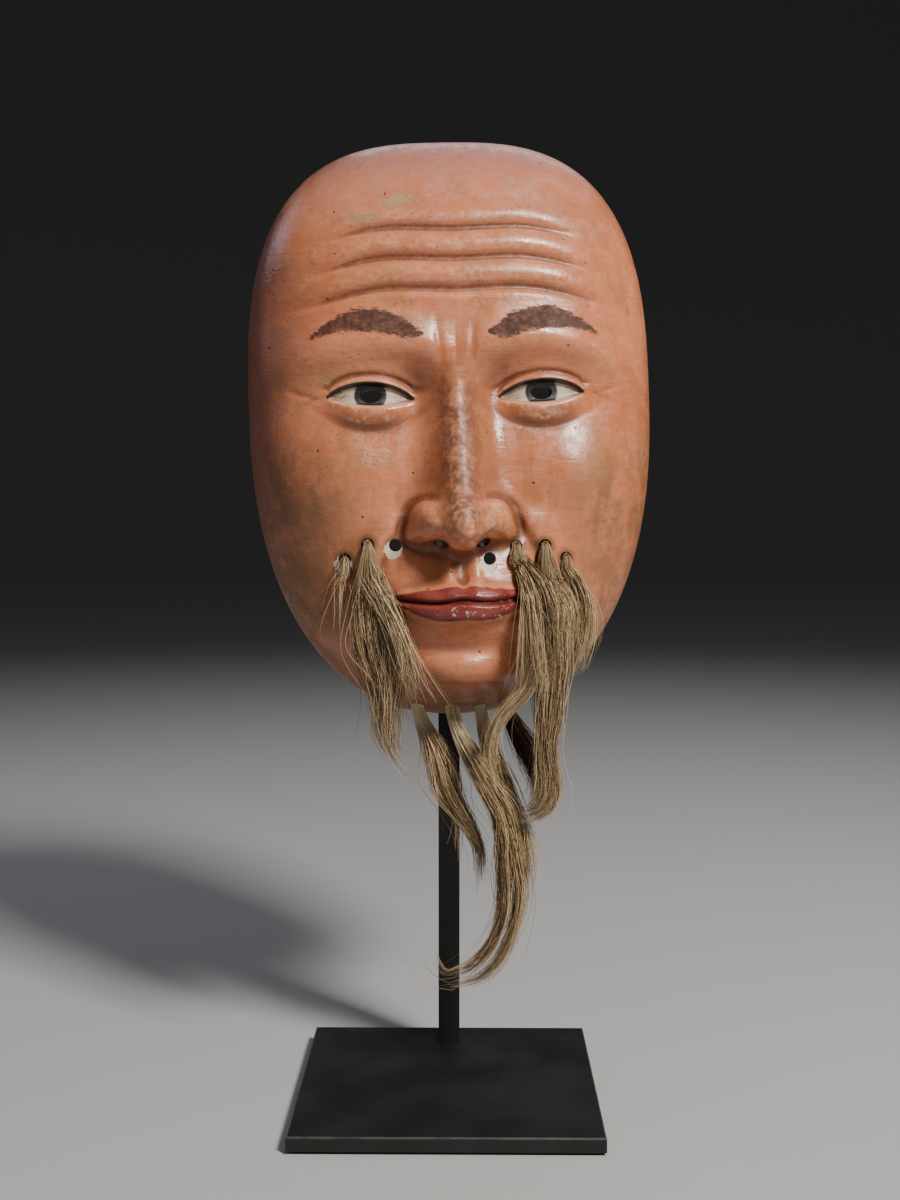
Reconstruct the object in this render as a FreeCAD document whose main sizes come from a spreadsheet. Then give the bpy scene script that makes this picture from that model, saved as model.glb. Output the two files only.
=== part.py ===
import FreeCAD, Part

import math
import os

import Sketcher
from FreeCAD import Placement, Rotation, Vector

# A carved wooden mask of an old man, with planted hair, hung on a steel display stand.
# Millimetres. The origin is under the middle of the base, +Z is up and the mask looks towards -Y.
# The mask has a frame of its own: its rim lies in the plane y = 0, its chin at z = 0, its nose towards -Y.

SIZES = [
    # the base and its post
    ("base_width", 105.0, "left to right"),
    ("base_depth", 105.0, "front to back"),
    ("base_thick", 5.0, "steel plate"),
    ("base_bevel", 0.4, "round the top of the plate"),
    ("felt_thick", 1.0, "felt glued under the plate"),
    ("felt_inset", 2.0, "the felt stops short of the plate's edge"),
    ("post_side", 8.0, "square bar"),
    ("post_from_back", 8.0, "back of the bar to the back of the plate"),
    ("post_bevel", 0.4, "at the top of the bar"),
    ("foot_screw_dia", 4.0, "countersunk screw up into the bar"),
    ("foot_screw_head", 8.0, "its head"),
    ("foot_screw_length", 14.0, "head included"),
    ("foot_socket", 2.5, "hexagon in its head, across flats"),
    # the arm inside the mask
    ("arm_width", 10.0, "flat strip, bent forward"),
    ("arm_thick", 2.5, "its thickness"),
    ("arm_flange", 26.0, "length of strip against the bar"),
    ("arm_reach", 11.0, "length of strip in front of the flange"),
    ("cross_length", 56.0, "cross bar, end to end"),
    ("cross_width", 8.0, "front to back"),
    ("cross_thick", 2.5, "its thickness"),
    ("pad_length", 14.0, "felt pads on the cross bar"),
    ("pad_thick", 1.5, "their thickness"),
    ("small_screw_dia", 3.0, "pan head screws of the arm"),
    ("small_screw_head", 5.4, "their heads"),
    ("small_head_high", 1.6, "height of their heads"),
    ("small_socket", 2.0, "hexagon in their heads, across flats"),
    ("arm_screw_length", 8.0, "arm into bar, under the head"),
    ("arm_screw_pitch", 11.0, "between the two of them"),
    ("cross_screw_length", 4.6, "cross bar into arm, under the head"),
    ("bumper_dia", 7.0, "felt disc between the bar and the chin"),
    ("bumper_thick", 2.0, "its thickness"),
    ("bumper_above_chin", 4.2, "its middle over the lowest point of the rim"),
    # fits
    ("thread_gap", 0.05, "screw to its thread"),
    ("hole_gap", 0.2, "screw to a plain hole"),
    ("seat_gap", 0.3, "felt to the wood that rests on it"),
    ("hair_gap", 0.1, "hair root or peg to its hole"),
    ("lay_gap", 0.7, "hair to the face under it"),
    # how the mask hangs
    ("chin_above_base", 128.0, "lowest point of the mask over the plate"),
    ("mask_turn", 4.0, "degrees, nose towards +X"),
    ("mask_roll", 1.5, "degrees, chin towards +X"),
    ("mask_lean", 2.0, "degrees, crown backwards"),
    # the carved shell
    ("mask_height", 210.0, "chin to crown"),
    ("mask_half_width", 74.0, "middle to side"),
    ("widest_above_chin", 112.0, "height of the widest level"),
    ("vault_depth", 50.0, "rim to the plain of the face"),
    ("wall", 8.0, "wood at the rim"),
    ("wall_front", 8.0, "wood at the front"),
    ("nose_rise", 20.0, "nose over the face"),
    ("pupil_width", 7.4, "pierced pupil"),
    ("pupil_height", 5.2, "pierced pupil"),
    ("nostril_dia", 5.0, "pierced nostril"),
    ("nostril_out", 7.2, "middle to nostril"),
    ("cord_hole_dia", 5.0, "cord hole in each side"),
    ("cord_hole_in", 10.0, "cord hole to the rim's plane"),
    ("hair_hole_dia", 4.4, "holes for the hair"),
    ("root_length", 3.4, "hair inside its hole"),
    ("peg_length", 3.0, "wooden peg behind the hair"),
]

# The outline is a superellipse above the widest level and another below it.
OUTLINE_TOP = 2.9
OUTLINE_LOW = 2.3
# The plain vault is vault_depth * (1 - gauge ** VAULT_FLAT) ** VAULT_EDGE, with a gauge of 1 at the rim.
VAULT_FLAT = 3.4
VAULT_EDGE = 0.38
# Over this share of the outline the forms of the face die away to the plain edge.
FADE = 0.14
# How many points the face's surface has across and up, and the plainer hollow's.
FACE_COUNTS = (73, 97)
HOLLOW_COUNTS = (41, 53)
# Points crowd together at the rim, where the surface turns back.
CROWD = 0.15
CROWD_POWER = 7.6

# The face is a general one, on the proportions of a drawing book: a third of the face from chin to nose,
# a third from nose to brow, eyes a face's fifth wide and as far apart, the mouth a third below the nose.
THIRD = 64.0
NOSE_Z = THIRD
BROW_Z = 2 * THIRD
EYE_X = 29.5
EYE_Z = BROW_Z - 14.5
EYE_HALF = 14.5
MOUTH_Z = NOSE_Z * 2 / 3
MOUTH_HALF = 24.5

# The pierced pupil sits this far above the eye's middle.
PUPIL_UP = 1.0
# Nostrils start this far in front of the plain of the face and this far below the base of the nose, and
# slope up by this much for each step back.
NOSTRIL_FRONT = 12.0
NOSTRIL_DROP = 2.6
NOSTRIL_SLOPE = 0.35

# Soft rises and hollows: out from the middle, above the chin, half width, half height, rise.
SWELLS = {
    "forehead": (0, 160, 48, 32, 3.0),
    "temple": (62, 140, 12, 20, -2.5),
    "socket": (EYE_X - 1.5, EYE_Z + 1, 19, 11.5, -8.5),
    "inner corner": (15.5, EYE_Z + 2, 6, 9, -2.5),
    "cheekbone": (42, 86, 18, 16, 5.0),
    "cheek": (48, 52, 14, 18, -1.5),
    "muzzle": (0, MOUTH_Z + 1, 30, 19, 8.5),
    "jaw": (0, 20, 34, 24, 9.0),
    "lip groove": (0, 54.5, 3.0, 7.5, -1.4),
    "groove edge": (5.6, 54, 2.6, 7, 0.9),
    "mouth corner": (MOUTH_HALF + 2, MOUTH_Z + 1, 4.5, 4.5, -2.2),
    "chin": (0, 13.5, 17, 11, 6.5),
}
# The same for the hollow at the back, which keeps clear of the wearer's face.
HOLLOW_SWELLS = {
    "behind the nose": (0, NOSE_Z + 14, 11, 18, 11.0),
    "behind the chin": (0, 30, 26, 22, 6.0),
    "behind the eye": (EYE_X, EYE_Z, 17, 12, -3.5),
}

# Holes for hair in the face, out from the middle and above the chin; the last two have lost theirs.
LIP_HOLES = {
    "left": (-32.0, 63.5),
    "left_stray": (-40.0, 58.5),
    "right_inner": (19.0, 61.5),
    "right_middle": (29.0, 61.5),
    "right_outer": (36.5, 57.0),
}
EMPTY_HOLES = [(-22.5, 63.0), (9.5, 57.5)]
# Holes up into the chin, out from the middle and in front of the rim.
CHIN_HOLES = {
    "outer_left": (-15.2, 22.0),
    "inner_left": (-3.4, 25.0),
    "inner_right": (7.2, 23.0),
    "outer_right": (16.8, 22.0),
}

# Each lock of hair below its root: x, z, width and thickness; y follows from the face, or for the beard
# is the last number. A moustache lock draws back by this share of its fall where nothing is under it.
SETTLE = 0.1
MOUSTACHE = {
    "left": [
        (-32.0, 53.0, 7.5, 3.8),
        (-31.2, 45.0, 11.0, 4.0),
        (-29.2, 35.0, 13.5, 4.0),
        (-28.2, 26.0, 13.0, 4.0),
        (-27.4, 17.0, 10.5, 4.0),
        (-27.4, 9.0, 8.0, 3.8),
        (-27.4, 0.0, 7.4, 3.4),
        (-26.4, -6.0, 5.0, 2.8),
        (-23.4, -12.0, 3.4, 2.2),
        (-18.6, -19.0, 1.2, 1.0),
    ],
    "left_stray": [
        (-41.0, 51.0, 3.4, 2.4),
        (-42.0, 41.5, 2.4, 2.0),
        (-43.4, 26.0, 1.0, 1.0),
    ],
    "right_inner": [
        (21.6, 53.0, 4.6, 3.2),
        (23.2, 43.0, 5.0, 3.4),
        (23.6, 30.0, 5.0, 3.4),
        (23.0, 20.0, 4.6, 3.2),
        (20.2, 12.0, 4.0, 3.0),
        (15.4, 6.6, 3.6, 2.8),
        (11.0, 1.0, 3.4, 2.6),
        (8.8, -7.0, 3.2, 2.6),
        (9.0, -17.0, 2.6, 2.2),
        (11.4, -26.0, 1.2, 1.0),
    ],
    "right_middle": [
        (29.8, 51.0, 7.4, 3.8),
        (31.0, 41.0, 8.6, 4.4),
        (31.2, 30.0, 8.8, 4.4),
        (30.4, 20.0, 8.2, 4.4),
        (29.6, 10.0, 7.4, 4.4),
        (29.0, 0.0, 6.4, 4.2),
        (28.0, -7.0, 5.4, 4.2),
        (27.8, -14.0, 6.0, 4.2),
        (28.2, -21.0, 7.0, 4.0),
        (27.2, -27.0, 7.0, 4.0),
        (24.0, -30.8, 5.6, 3.4),
        (18.4, -31.8, 2.2, 1.6),
    ],
    "right_outer": [
        (39.2, 49.6, 4.6, 3.0),
        (41.6, 42.0, 5.2, 3.2),
        (41.6, 34.0, 5.0, 3.0),
        (40.0, 26.0, 4.4, 2.8),
        (38.0, 19.0, 3.4, 2.4),
        (36.4, 12.0, 1.8, 1.4),
    ],
}
BEARD = {
    "outer_left": [
        (-12.6, -4.0, 5.6, 4.0, -24.5),
        (-9.6, -10.6, 7.6, 4.4, -26.5),
        (-6.9, -17.8, 8.4, 4.6, -28.0),
        (-4.9, -24.8, 7.6, 4.4, -28.8),
        (-1.5, -32.0, 5.4, 3.8, -29.0),
        (2.2, -39.2, 4.2, 3.2, -29.0),
        (5.2, -46.6, 3.0, 2.6, -29.0),
        (5.6, -56.0, 2.2, 2.0, -28.6),
        (5.2, -66.0, 1.2, 1.0, -28.0),
    ],
    "inner_left": [
        (-1.6, -3.6, 4.8, 3.6, -29.0),
        (1.6, -10.2, 6.2, 4.0, -33.0),
        (5.4, -17.2, 6.4, 4.2, -35.0),
        (9.0, -24.4, 7.0, 4.4, -36.0),
        (12.4, -31.4, 7.2, 4.4, -37.0),
        (14.2, -39.0, 7.0, 4.4, -37.4),
        (14.8, -46.0, 7.0, 4.4, -37.4),
        (15.2, -54.0, 7.2, 4.4, -37.4),
        (15.4, -61.0, 7.4, 4.4, -37.0),
        (14.6, -68.0, 6.8, 4.4, -36.6),
        (12.6, -75.0, 6.4, 4.4, -36.0),
        (9.4, -82.0, 6.6, 4.4, -35.2),
        (5.0, -87.2, 6.6, 4.2, -34.4),
        (-0.6, -90.8, 5.0, 3.6, -33.6),
        (-8.4, -91.6, 1.6, 1.4, -33.0),
    ],
    "inner_right": [
        (8.2, -4.6, 4.8, 3.6, -25.5),
        (9.6, -11.0, 5.0, 3.8, -28.0),
        (11.8, -18.0, 5.0, 3.8, -29.4),
        (15.0, -29.0, 5.2, 3.6, -30.4),
        (18.6, -39.0, 5.4, 3.6, -30.8),
        (21.0, -47.0, 5.2, 3.6, -31.0),
        (21.6, -54.0, 4.8, 3.4, -31.0),
        (20.6, -61.0, 4.0, 3.0, -30.8),
        (18.4, -68.0, 1.6, 1.4, -30.4),
    ],
    "outer_right": [
        (19.4, -4.4, 5.0, 3.6, -25.5),
        (22.8, -10.8, 5.6, 3.8, -30.0),
        (25.2, -17.2, 5.6, 3.8, -34.5),
        (26.4, -23.0, 5.0, 3.6, -38.0),
        (26.8, -28.0, 4.2, 3.0, -40.5),
        (24.6, -32.0, 3.0, 2.2, -42.0),
        (20.0, -33.0, 1.4, 1.0, -43.0),
    ],
}

doc = FreeCAD.newDocument("mask_on_stand")
sheet = doc.addObject("Spreadsheet::Sheet", "sizes")
fitted = doc.addObject("Spreadsheet::Sheet", "fitted")


def fill(table, rows):
    """Writes name, number and note of each row, with the name as the number's alias."""
    for k, (name, number, note) in enumerate(rows, start=1):
        table.set(f"A{k}", name)
        table.set(f"B{k}", f"{number:.6f}")
        table.set(f"C{k}", note)
        table.setAlias(f"B{k}", name)
    doc.recompute()


fill(sheet, SIZES)


def size(name):
    return float(sheet.get(name))


def bell(distance, reach):
    return math.exp(-((distance / reach) ** 2))


def step(distance, reach):
    """0 well below, 1 well above, over about reach."""
    return 1 / (1 + math.exp(-max(-40.0, min(40.0, 4 * distance / reach))))


def clamp(value):
    return max(0.0, min(1.0, value))


class Vault:
    """A plain smooth vault over an outline; the face's own, or the hollow's, which is a wall smaller."""

    def __init__(self, inset, inset_front):
        self.level = size("widest_above_chin")
        self.wide = size("mask_half_width") - inset
        self.above = size("mask_height") - self.level - inset
        self.below = self.level - inset
        self.deep = size("vault_depth") - inset_front

    def half(self, up):
        """The outline's power and its height, above or below the widest level."""
        return (OUTLINE_TOP, self.above) if up else (OUTLINE_LOW, self.below)

    def gauge(self, x, z):
        power, high = self.half(z > self.level)
        across = (abs(x) / self.wide) ** power
        along = (abs(z - self.level) / high) ** power
        return (across + along) ** (1 / power)

    def rise(self, x, z):
        return self.deep * max(0.0, 1 - self.gauge(x, z) ** VAULT_FLAT) ** VAULT_EDGE

    def at(self, a, b):
        """The front view's x and z for a and b from -1 to 1: a square laid over the outline."""
        p = a * math.sqrt(1 - b * b / 2)
        q = b * math.sqrt(1 - a * a / 2)
        r = math.hypot(p, q)
        if r < 1e-9:
            return 0.0, self.level
        share = min(1.0, (1 + CROWD) * r - CROWD * r**CROWD_POWER)
        power, high = self.half(q > 0)
        reach = (abs(p / r) ** power + abs(q / r) ** power) ** (-1 / power)
        return share * reach * p / r * self.wide, self.level + share * reach * q / r * high


outer = Vault(0.0, 0.0)
inner = Vault(size("wall"), size("wall_front"))


def eyes(s, z):
    """Eyeball, lids, the slit between them and the soft bag below. s is the distance from the middle."""
    t = (s - EYE_X) / EYE_HALF
    arch = clamp(1 - t * t)
    upper = EYE_Z + 4.6 * arch**0.75 + 0.6 * t
    lower = EYE_Z - 2.6 * arch**0.9 + 0.6 * t
    near = step(1.02 - abs(t), 0.25)
    ball = ((s - EYE_X) / 15.5) ** 2 + ((z - EYE_Z) / 10.0) ** 2
    bag = EYE_Z - 11.0 + 0.02 * (s - EYE_X) ** 2
    f = 7.4 * math.exp(-(ball**1.35))
    f -= 1.5 * step(z - lower, 2.0) * step(upper - z, 2.0) * step(1.02 - abs(t), 0.2)
    f -= 1.0 * bell(z - upper - 4.0, 2.2) * step(1.1 - abs(t), 0.3)
    f += 0.9 * bell(z - upper - 1.4, 2.0) * near + 0.7 * bell(z - lower + 1.4, 2.0) * near
    f -= 1.0 * bell(z - bag, 2.2) * bell(s - EYE_X, 14)
    f += 1.0 * bell(z - bag - 3.6, 3.0) * bell(s - EYE_X, 13)
    return f


def nose(x, z):
    """Bridge, tip and wings, cut off below by the base of the nose."""
    s = abs(x)
    down = max(0.0, min(1.2, (BROW_Z - z) / (BROW_Z - NOSE_Z)))
    tall = 3.0 + (size("nose_rise") - 3.0) * down**1.2
    base = NOSE_Z - 0.5 - 2.2 * bell(x, 7.5) + 1.2 * bell(s - 8.5, 4.0)
    under = step(z - base, 5.0)
    f = tall * math.exp(-((s / (6.8 + 3.4 * down)) ** 2.2)) * under * step(BROW_Z + 4 - z, 18)
    f += 5.0 * bell(x, 7.5) * bell(z - NOSE_Z - 6.5, 8.0) * under
    f += 10.0 * bell(s - 12.0, 5.6) * bell(z - NOSE_Z - 6.5, 8.0) * step(z - NOSE_Z - 0.3, 4.0)
    behind = math.hypot(s - 11, z - NOSE_Z - 5) - 9.6
    return f - 1.3 * bell(behind, 1.9) * step(s - 9, 6) * step(z - NOSE_Z + 3, 6)


def mouth(x, z):
    """Both lips and the line between them."""
    s = abs(x)
    seam = MOUTH_Z + 1.0 + 1.5 * bell(x, 6.5) - 1.6 * bell(x, 15) + 0.8 * bell(s - 25, 7)
    full = clamp(1 - (s / (MOUTH_HALF + 0.5)) ** 2)
    high = 5.6 * full**0.7 - 1.2 * bell(x, 2.6)
    low = 6.8 * full**0.8
    f = 3.4 * full**0.5 * math.exp(-((abs(z - seam - high / 2) / (0.62 * high + 1.4)) ** 2.6))
    f += 4.4 * full**0.5 * math.exp(-((abs(seam - z - low / 2) / (0.62 * low + 1.0)) ** 2.6))
    return f - 2.4 * bell(z - seam, 2.2) * step(MOUTH_HALF + 1.5 - s, 4)


def folds(x, z):
    """Brow ridge, chin crease, cheek folds and the three calm lines of the forehead."""
    s = abs(x)
    f = 4.6 * bell(z - BROW_Z - 3.5 + 0.006 * (s - 26) ** 2, 8.5) * step(s - 5, 12) * step(58 - s, 16)
    f -= 3.4 * bell(z - 27.0 - 0.006 * x * x, 4.6) * bell(x, 20)
    run = clamp((NOSE_Z + 9 - z) / 46)
    line = 17.5 + 17.5 * math.sin(run * math.pi / 2) ** 0.9 - 3.0 * run**3
    on = step(NOSE_Z + 10 - z, 7) * step(z - 27, 16)
    f += (2.2 * bell(s - line - 6.5, 6.5) - 1.3 * bell(s - line, 2.8)) * on
    for k in range(3):
        row = 149.5 + 10.6 * k + 1.8 * bell(s - 26, 17) - 0.0016 * x * x
        reach = step(47 - 5 * k - s, 20)
        f += (1.0 * bell(z - row - 5.0, 3.2) - 1.25 * bell(z - row, 2.0)) * reach
    return f


def face(x, z):
    """How far the front of the mask stands forward of the rim's plane."""
    s = abs(x)
    f = eyes(s, z) + nose(x, z) + mouth(x, z) + folds(x, z)
    for out, high, half_width, half_height, rise in SWELLS.values():
        f += rise * bell(s - out, half_width) * bell(z - high, half_height)
    fade = clamp((1 - outer.gauge(x, z)) / FADE)
    return outer.rise(x, z) + f * fade * fade * (3 - 2 * fade)


def hollow(x, z):
    """How far the carved-out back reaches forward: a plain vault with a dip behind the nose."""
    s = abs(x)
    f = 0.0
    for out, high, half_width, half_height, rise in HOLLOW_SWELLS.values():
        f += rise * bell(s - out, half_width) * bell(z - high, half_height)
    fade = clamp((1 - inner.gauge(x, z)) / (2 * FADE))
    return inner.rise(x, z) + f * fade * fade * (3 - 2 * fade)


def ceiling(x, depth):
    """Height of the hollow's roof at x, depth in front of the rim's plane."""
    low, high = inner.level, inner.level + inner.above
    for _ in range(50):
        middle = (low + high) / 2
        if inner.rise(x, middle) > depth:
            low = middle
        else:
            high = middle
    return low


def carved_face(vault, height, counts):
    """A smooth surface through a grid of points of that height over the vault's outline."""
    across, up = counts
    rows = []
    for j in range(up):
        row = []
        for i in range(across):
            x, z = vault.at(2 * i / (across - 1) - 1, 2 * j / (up - 1) - 1)
            edge = i in (0, across - 1) or j in (0, up - 1)
            row.append(Vector(x, 0.0 if edge else -height(x, z), z))
        rows.append(row)
    surface = Part.BSplineSurface()
    surface.interpolate(rows)
    return surface.toShape()


def carved_shell():
    """The closed wooden shell: face, hollow and the flat rim between them."""
    front = carved_face(outer, face, FACE_COUNTS)
    back = carved_face(inner, hollow, HOLLOW_COUNTS)
    wires = [Part.Wire(Part.__sortEdges__(side.Edges)) for side in (front, back)]
    rim = Part.makeFace(wires, "Part::FaceMakerBullseye")
    shell = Part.makeShell([front, back, rim])
    shell.sewShape()
    solid = Part.Solid(shell)
    if solid.Volume < 0:
        solid.reverse()
    return solid


# Where the mask hangs.
turned = Rotation(Vector(0, 0, 1), size("mask_turn"))
rolled = Rotation(Vector(0, 1, 0), -size("mask_roll"))
leaned = Rotation(Vector(1, 0, 0), -size("mask_lean"))
hang = turned * rolled * leaned
plate_top = size("felt_thick") + size("base_thick")
post_back = size("base_depth") / 2 - size("post_from_back")
post_front = post_back - size("post_side")
bumper_front = post_front - size("bumper_thick")
chin_z = plate_top + size("chin_above_base")
bumper_z = chin_z + size("bumper_above_chin")
rim_normal = hang.multVec(Vector(0, 1, 0))
tilt = math.acos(rim_normal.y)
rim_clear = size("seat_gap") + size("bumper_dia") / 2 * math.sin(tilt)
middle = hang.multVec(Vector(0, 0, size("mask_height") / 2))
touch = Vector(0, bumper_front, bumper_z)
chin_x = -middle.x
# The rim's plane passes in front of the bumper by rim_clear.
chin_y = (
    touch.y
    + (rim_normal.x * (touch.x - chin_x) + rim_normal.z * (touch.z - chin_z) - rim_clear) / rim_normal.y
)
mask_place = Placement(Vector(chin_x, chin_y, chin_z), hang)


def in_mask(point):
    """A point of the stand's frame, in the mask's own."""
    return mask_place.inverse().multVec(point)


# The cross bar lies in the mask's frame, its pads just under the roof of the hollow.
flange_front = post_front - size("arm_thick")
near_roof = in_mask(Vector(0, flange_front, chin_z + size("mask_height") - size("wall")))
cross_y = near_roof.y - 1.0 - size("cross_width") / 2
round_end = size("cross_width") / 2
round_x = size("cross_length") / 2 - round_end
corners = [math.radians(10 * k) for k in range(10)]
roof = min(ceiling(round_x + round_end * math.cos(a), -cross_y + round_end * math.sin(a)) for a in corners)
pad_top = roof - size("seat_gap")
cross_top = pad_top - size("pad_thick")
arm_top = cross_top - size("cross_thick")
tongue_x = near_roof.x
tongue_back = near_roof.y + size("arm_thick") / 2
arm_corner = mask_place.multVec(Vector(tongue_x, near_roof.y, arm_top))

fill(
    fitted,
    [
        ("plate_top", plate_top, "height of the plate's top"),
        ("post_back", post_back, "back of the bar"),
        ("post_front", post_front, "front of the bar"),
        ("flange_front", flange_front, "front of the arm's flange"),
        ("post_high", arm_corner.z, "height of the bar's top"),
        ("bumper_high", bumper_z, "height of the bumper's middle"),
        ("cross_middle", cross_y, "middle of the cross bar, in the mask's frame"),
        ("cross_top", cross_top, "top of the cross bar, in the mask's frame"),
        ("arm_top", arm_top, "top of the arm, in the mask's frame"),
        ("tongue_side", tongue_x, "middle of the arm, in the mask's frame"),
    ],
)


def bind(thing, **paths):
    """Ties properties to cells; a double underscore stands for a dot."""
    for path, formula in paths.items():
        thing.setExpression(path.replace("__", "."), formula)
    return thing


def part(kind, name, **paths):
    return bind(doc.addObject("Part::" + kind, name), **paths)


def boolean(kind, name, base, tool):
    made = doc.addObject("Part::" + kind, name)
    made.Base = base
    made.Tool = tool
    return made


def cylinder(name, radius, height, x, y, z, axis=Vector(0, 0, 1)):
    made = part("Cylinder", name, Radius=radius, Height=height)
    made.Placement = Placement(Vector(0, 0, 0), Rotation(Vector(0, 0, 1), axis))
    return bind(made, Placement__Base__x=x, Placement__Base__y=y, Placement__Base__z=z)


def group(name, parts):
    made = doc.addObject("Part::Compound", name)
    made.Links = parts
    return made


nodes = {}


def keep(name, thing, place=None):
    """A finished sub-part, under the name of its file."""
    thing.Label = name
    if place is not None:
        thing.Placement = place
    nodes[name] = thing
    return thing


def body_sketch(body, role, name):
    """An empty sketch on one of the body's own planes."""
    made = body.newObject("Sketcher::SketchObject", name)
    plane = next(f for f in body.Origin.OriginFeatures if f.Role == role)
    made.AttachmentSupport = (plane, [""])
    made.MapMode = "FlatFace"
    return made


def rectangle(sketch, width, depth):
    """A rectangle centred on the sketch's origin, its two sizes bound to formulas."""
    corners = [(-1, -1), (1, -1), (1, 1), (-1, 1)]
    points = [Vector(10 * a, 10 * b, 0) for a, b in corners]
    for k in range(4):
        sketch.addGeometry(Part.LineSegment(points[k], points[(k + 1) % 4]), False)
    for k in range(4):
        sketch.addConstraint(Sketcher.Constraint("Coincident", k, 2, (k + 1) % 4, 1))
    for k, way in enumerate(("Horizontal", "Vertical", "Horizontal", "Vertical")):
        sketch.addConstraint(Sketcher.Constraint(way, k))
    sketch.addConstraint(Sketcher.Constraint("Symmetric", 0, 1, 1, 2, -1, 1))
    across = sketch.addConstraint(Sketcher.Constraint("DistanceX", 0, 1, 0, 2, 20.0))
    along = sketch.addConstraint(Sketcher.Constraint("DistanceY", 1, 1, 1, 2, 20.0))
    sketch.setExpression(f"Constraints[{across}]", width)
    sketch.setExpression(f"Constraints[{along}]", depth)


def plate(name, width, depth, thick):
    """A body with one centred rectangular pad, standing on z = 0."""
    body = doc.addObject("PartDesign::Body", name)
    sketch = body_sketch(body, "XY_Plane", name + "_outline")
    rectangle(sketch, width, depth)
    pad = body.newObject("PartDesign::Pad", name + "_pad")
    pad.Profile = sketch
    pad.setExpression("Length", thick)
    doc.recompute()
    return body, pad


def top_edges(feature):
    """Names of the edges that lie on the feature's highest face."""
    shape = feature.Shape
    high = shape.BoundBox.ZMax
    return [f"Edge{k}" for k, e in enumerate(shape.Edges, start=1) if e.BoundBox.ZMin > high - 1e-6]


def bevel(body, feature, amount):
    made = body.newObject("PartDesign::Chamfer", body.Name + "_bevel")
    made.Base = (feature, top_edges(feature))
    made.setExpression("Size", amount)
    doc.recompute()
    return made


def revolved(name, profile):
    """A solid turned about Z from (radius, height) corners."""
    body = doc.addObject("PartDesign::Body", name)
    sketch = body_sketch(body, "XZ_Plane", name + "_profile")
    for k, corner in enumerate(profile):
        following = profile[(k + 1) % len(profile)]
        sketch.addGeometry(Part.LineSegment(Vector(*corner, 0), Vector(*following, 0)), False)
    turn = body.newObject("PartDesign::Revolution", name + "_turned")
    turn.Profile = sketch
    turn.ReferenceAxis = (sketch, ["V_Axis"])
    turn.Angle = 360
    doc.recompute()
    return body


def socket(name, flats, depth, z, down):
    """A hexagonal key socket, as a tool to cut with; down says which way it goes from z."""
    made = part("Prism", name, Circumradius=f"{flats} / 2 / cos(30)", Height=depth)
    made.Polygon = 6
    return bind(made, Placement__Base__z=f"{z} - ({depth})" if down else z)


def base_plate():
    body, pad = plate("plate_body", "sizes.base_width", "sizes.base_depth", "sizes.base_thick")
    bevel(body, pad, "sizes.base_bevel")
    body.setExpression("Placement.Base.z", "sizes.felt_thick")
    middle_y = "fitted.post_back - sizes.post_side / 2"
    hole = cylinder(
        "plate_hole",
        "sizes.foot_screw_dia / 2 + sizes.hole_gap",
        "sizes.base_thick * 2",
        "0",
        middle_y,
        "sizes.felt_thick - sizes.base_thick / 2",
    )
    sink = part(
        "Cone",
        "plate_countersink",
        Radius1="sizes.foot_screw_head / 2 + sizes.hole_gap",
        Radius2="sizes.foot_screw_dia / 2 + sizes.hole_gap",
        Height="(sizes.foot_screw_head - sizes.foot_screw_dia) / 2",
        Placement__Base__y=middle_y,
        Placement__Base__z="sizes.felt_thick",
    )
    drilled = boolean("Cut", "plate_drilled", body, hole)
    keep("base_plate", boolean("Cut", "plate_finished", drilled, sink))


def base_felt():
    body, _ = plate(
        "felt_body",
        "sizes.base_width - 2 * sizes.felt_inset",
        "sizes.base_depth - 2 * sizes.felt_inset",
        "sizes.felt_thick",
    )
    keep("base_felt", body)


def post():
    body, pad = plate("post_body", "sizes.post_side", "sizes.post_side", "fitted.post_high - fitted.plate_top")
    bevel(body, pad, "sizes.post_bevel")
    bind(
        body,
        Placement__Base__y="fitted.post_back - sizes.post_side / 2",
        Placement__Base__z="fitted.plate_top",
    )
    foot = cylinder(
        "post_foot_thread",
        "sizes.foot_screw_dia / 2 + sizes.thread_gap",
        "sizes.foot_screw_length - sizes.base_thick + 2 * sizes.foot_screw_dia / 2",
        "0",
        "fitted.post_back - sizes.post_side / 2",
        "fitted.plate_top",
    )
    solid = boolean("Cut", "post_tapped_foot", body, foot)
    for k in range(2):
        thread = cylinder(
            f"post_arm_thread_{k + 1}",
            "sizes.small_screw_dia / 2 + sizes.thread_gap",
            "sizes.arm_screw_length - sizes.arm_thick + 0.5",
            "0",
            "fitted.post_front",
            arm_screw_height(k),
            Vector(0, 1, 0),
        )
        solid = boolean("Cut", f"post_tapped_{k + 1}", solid, thread)
    keep("post", solid)


def arm_screw_height(k):
    lower = "(sizes.arm_flange - sizes.arm_screw_pitch) / 2 - 2"
    return f"fitted.post_high - sizes.arm_flange + {lower} + {k} * sizes.arm_screw_pitch"


def foot_screw():
    """Countersunk screw, head down, from the plate's underside up into the bar."""
    head, shank = size("foot_screw_head") / 2, size("foot_screw_dia") / 2
    long = size("foot_screw_length")
    profile = [(0, 0), (head, 0), (shank, head - shank), (shank, long - 0.5), (shank - 0.5, long), (0, long)]
    turned_screw = revolved("foot_screw_body", profile)
    key = socket("foot_screw_key", "sizes.foot_socket", "sizes.foot_socket * 0.8", "0", False)
    screw = boolean("Cut", "foot_screw_cut", turned_screw, key)
    spot = Vector(0, post_back - size("post_side") / 2, size("felt_thick"))
    keep("foot_screw", screw, Placement(spot, Rotation()))


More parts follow.
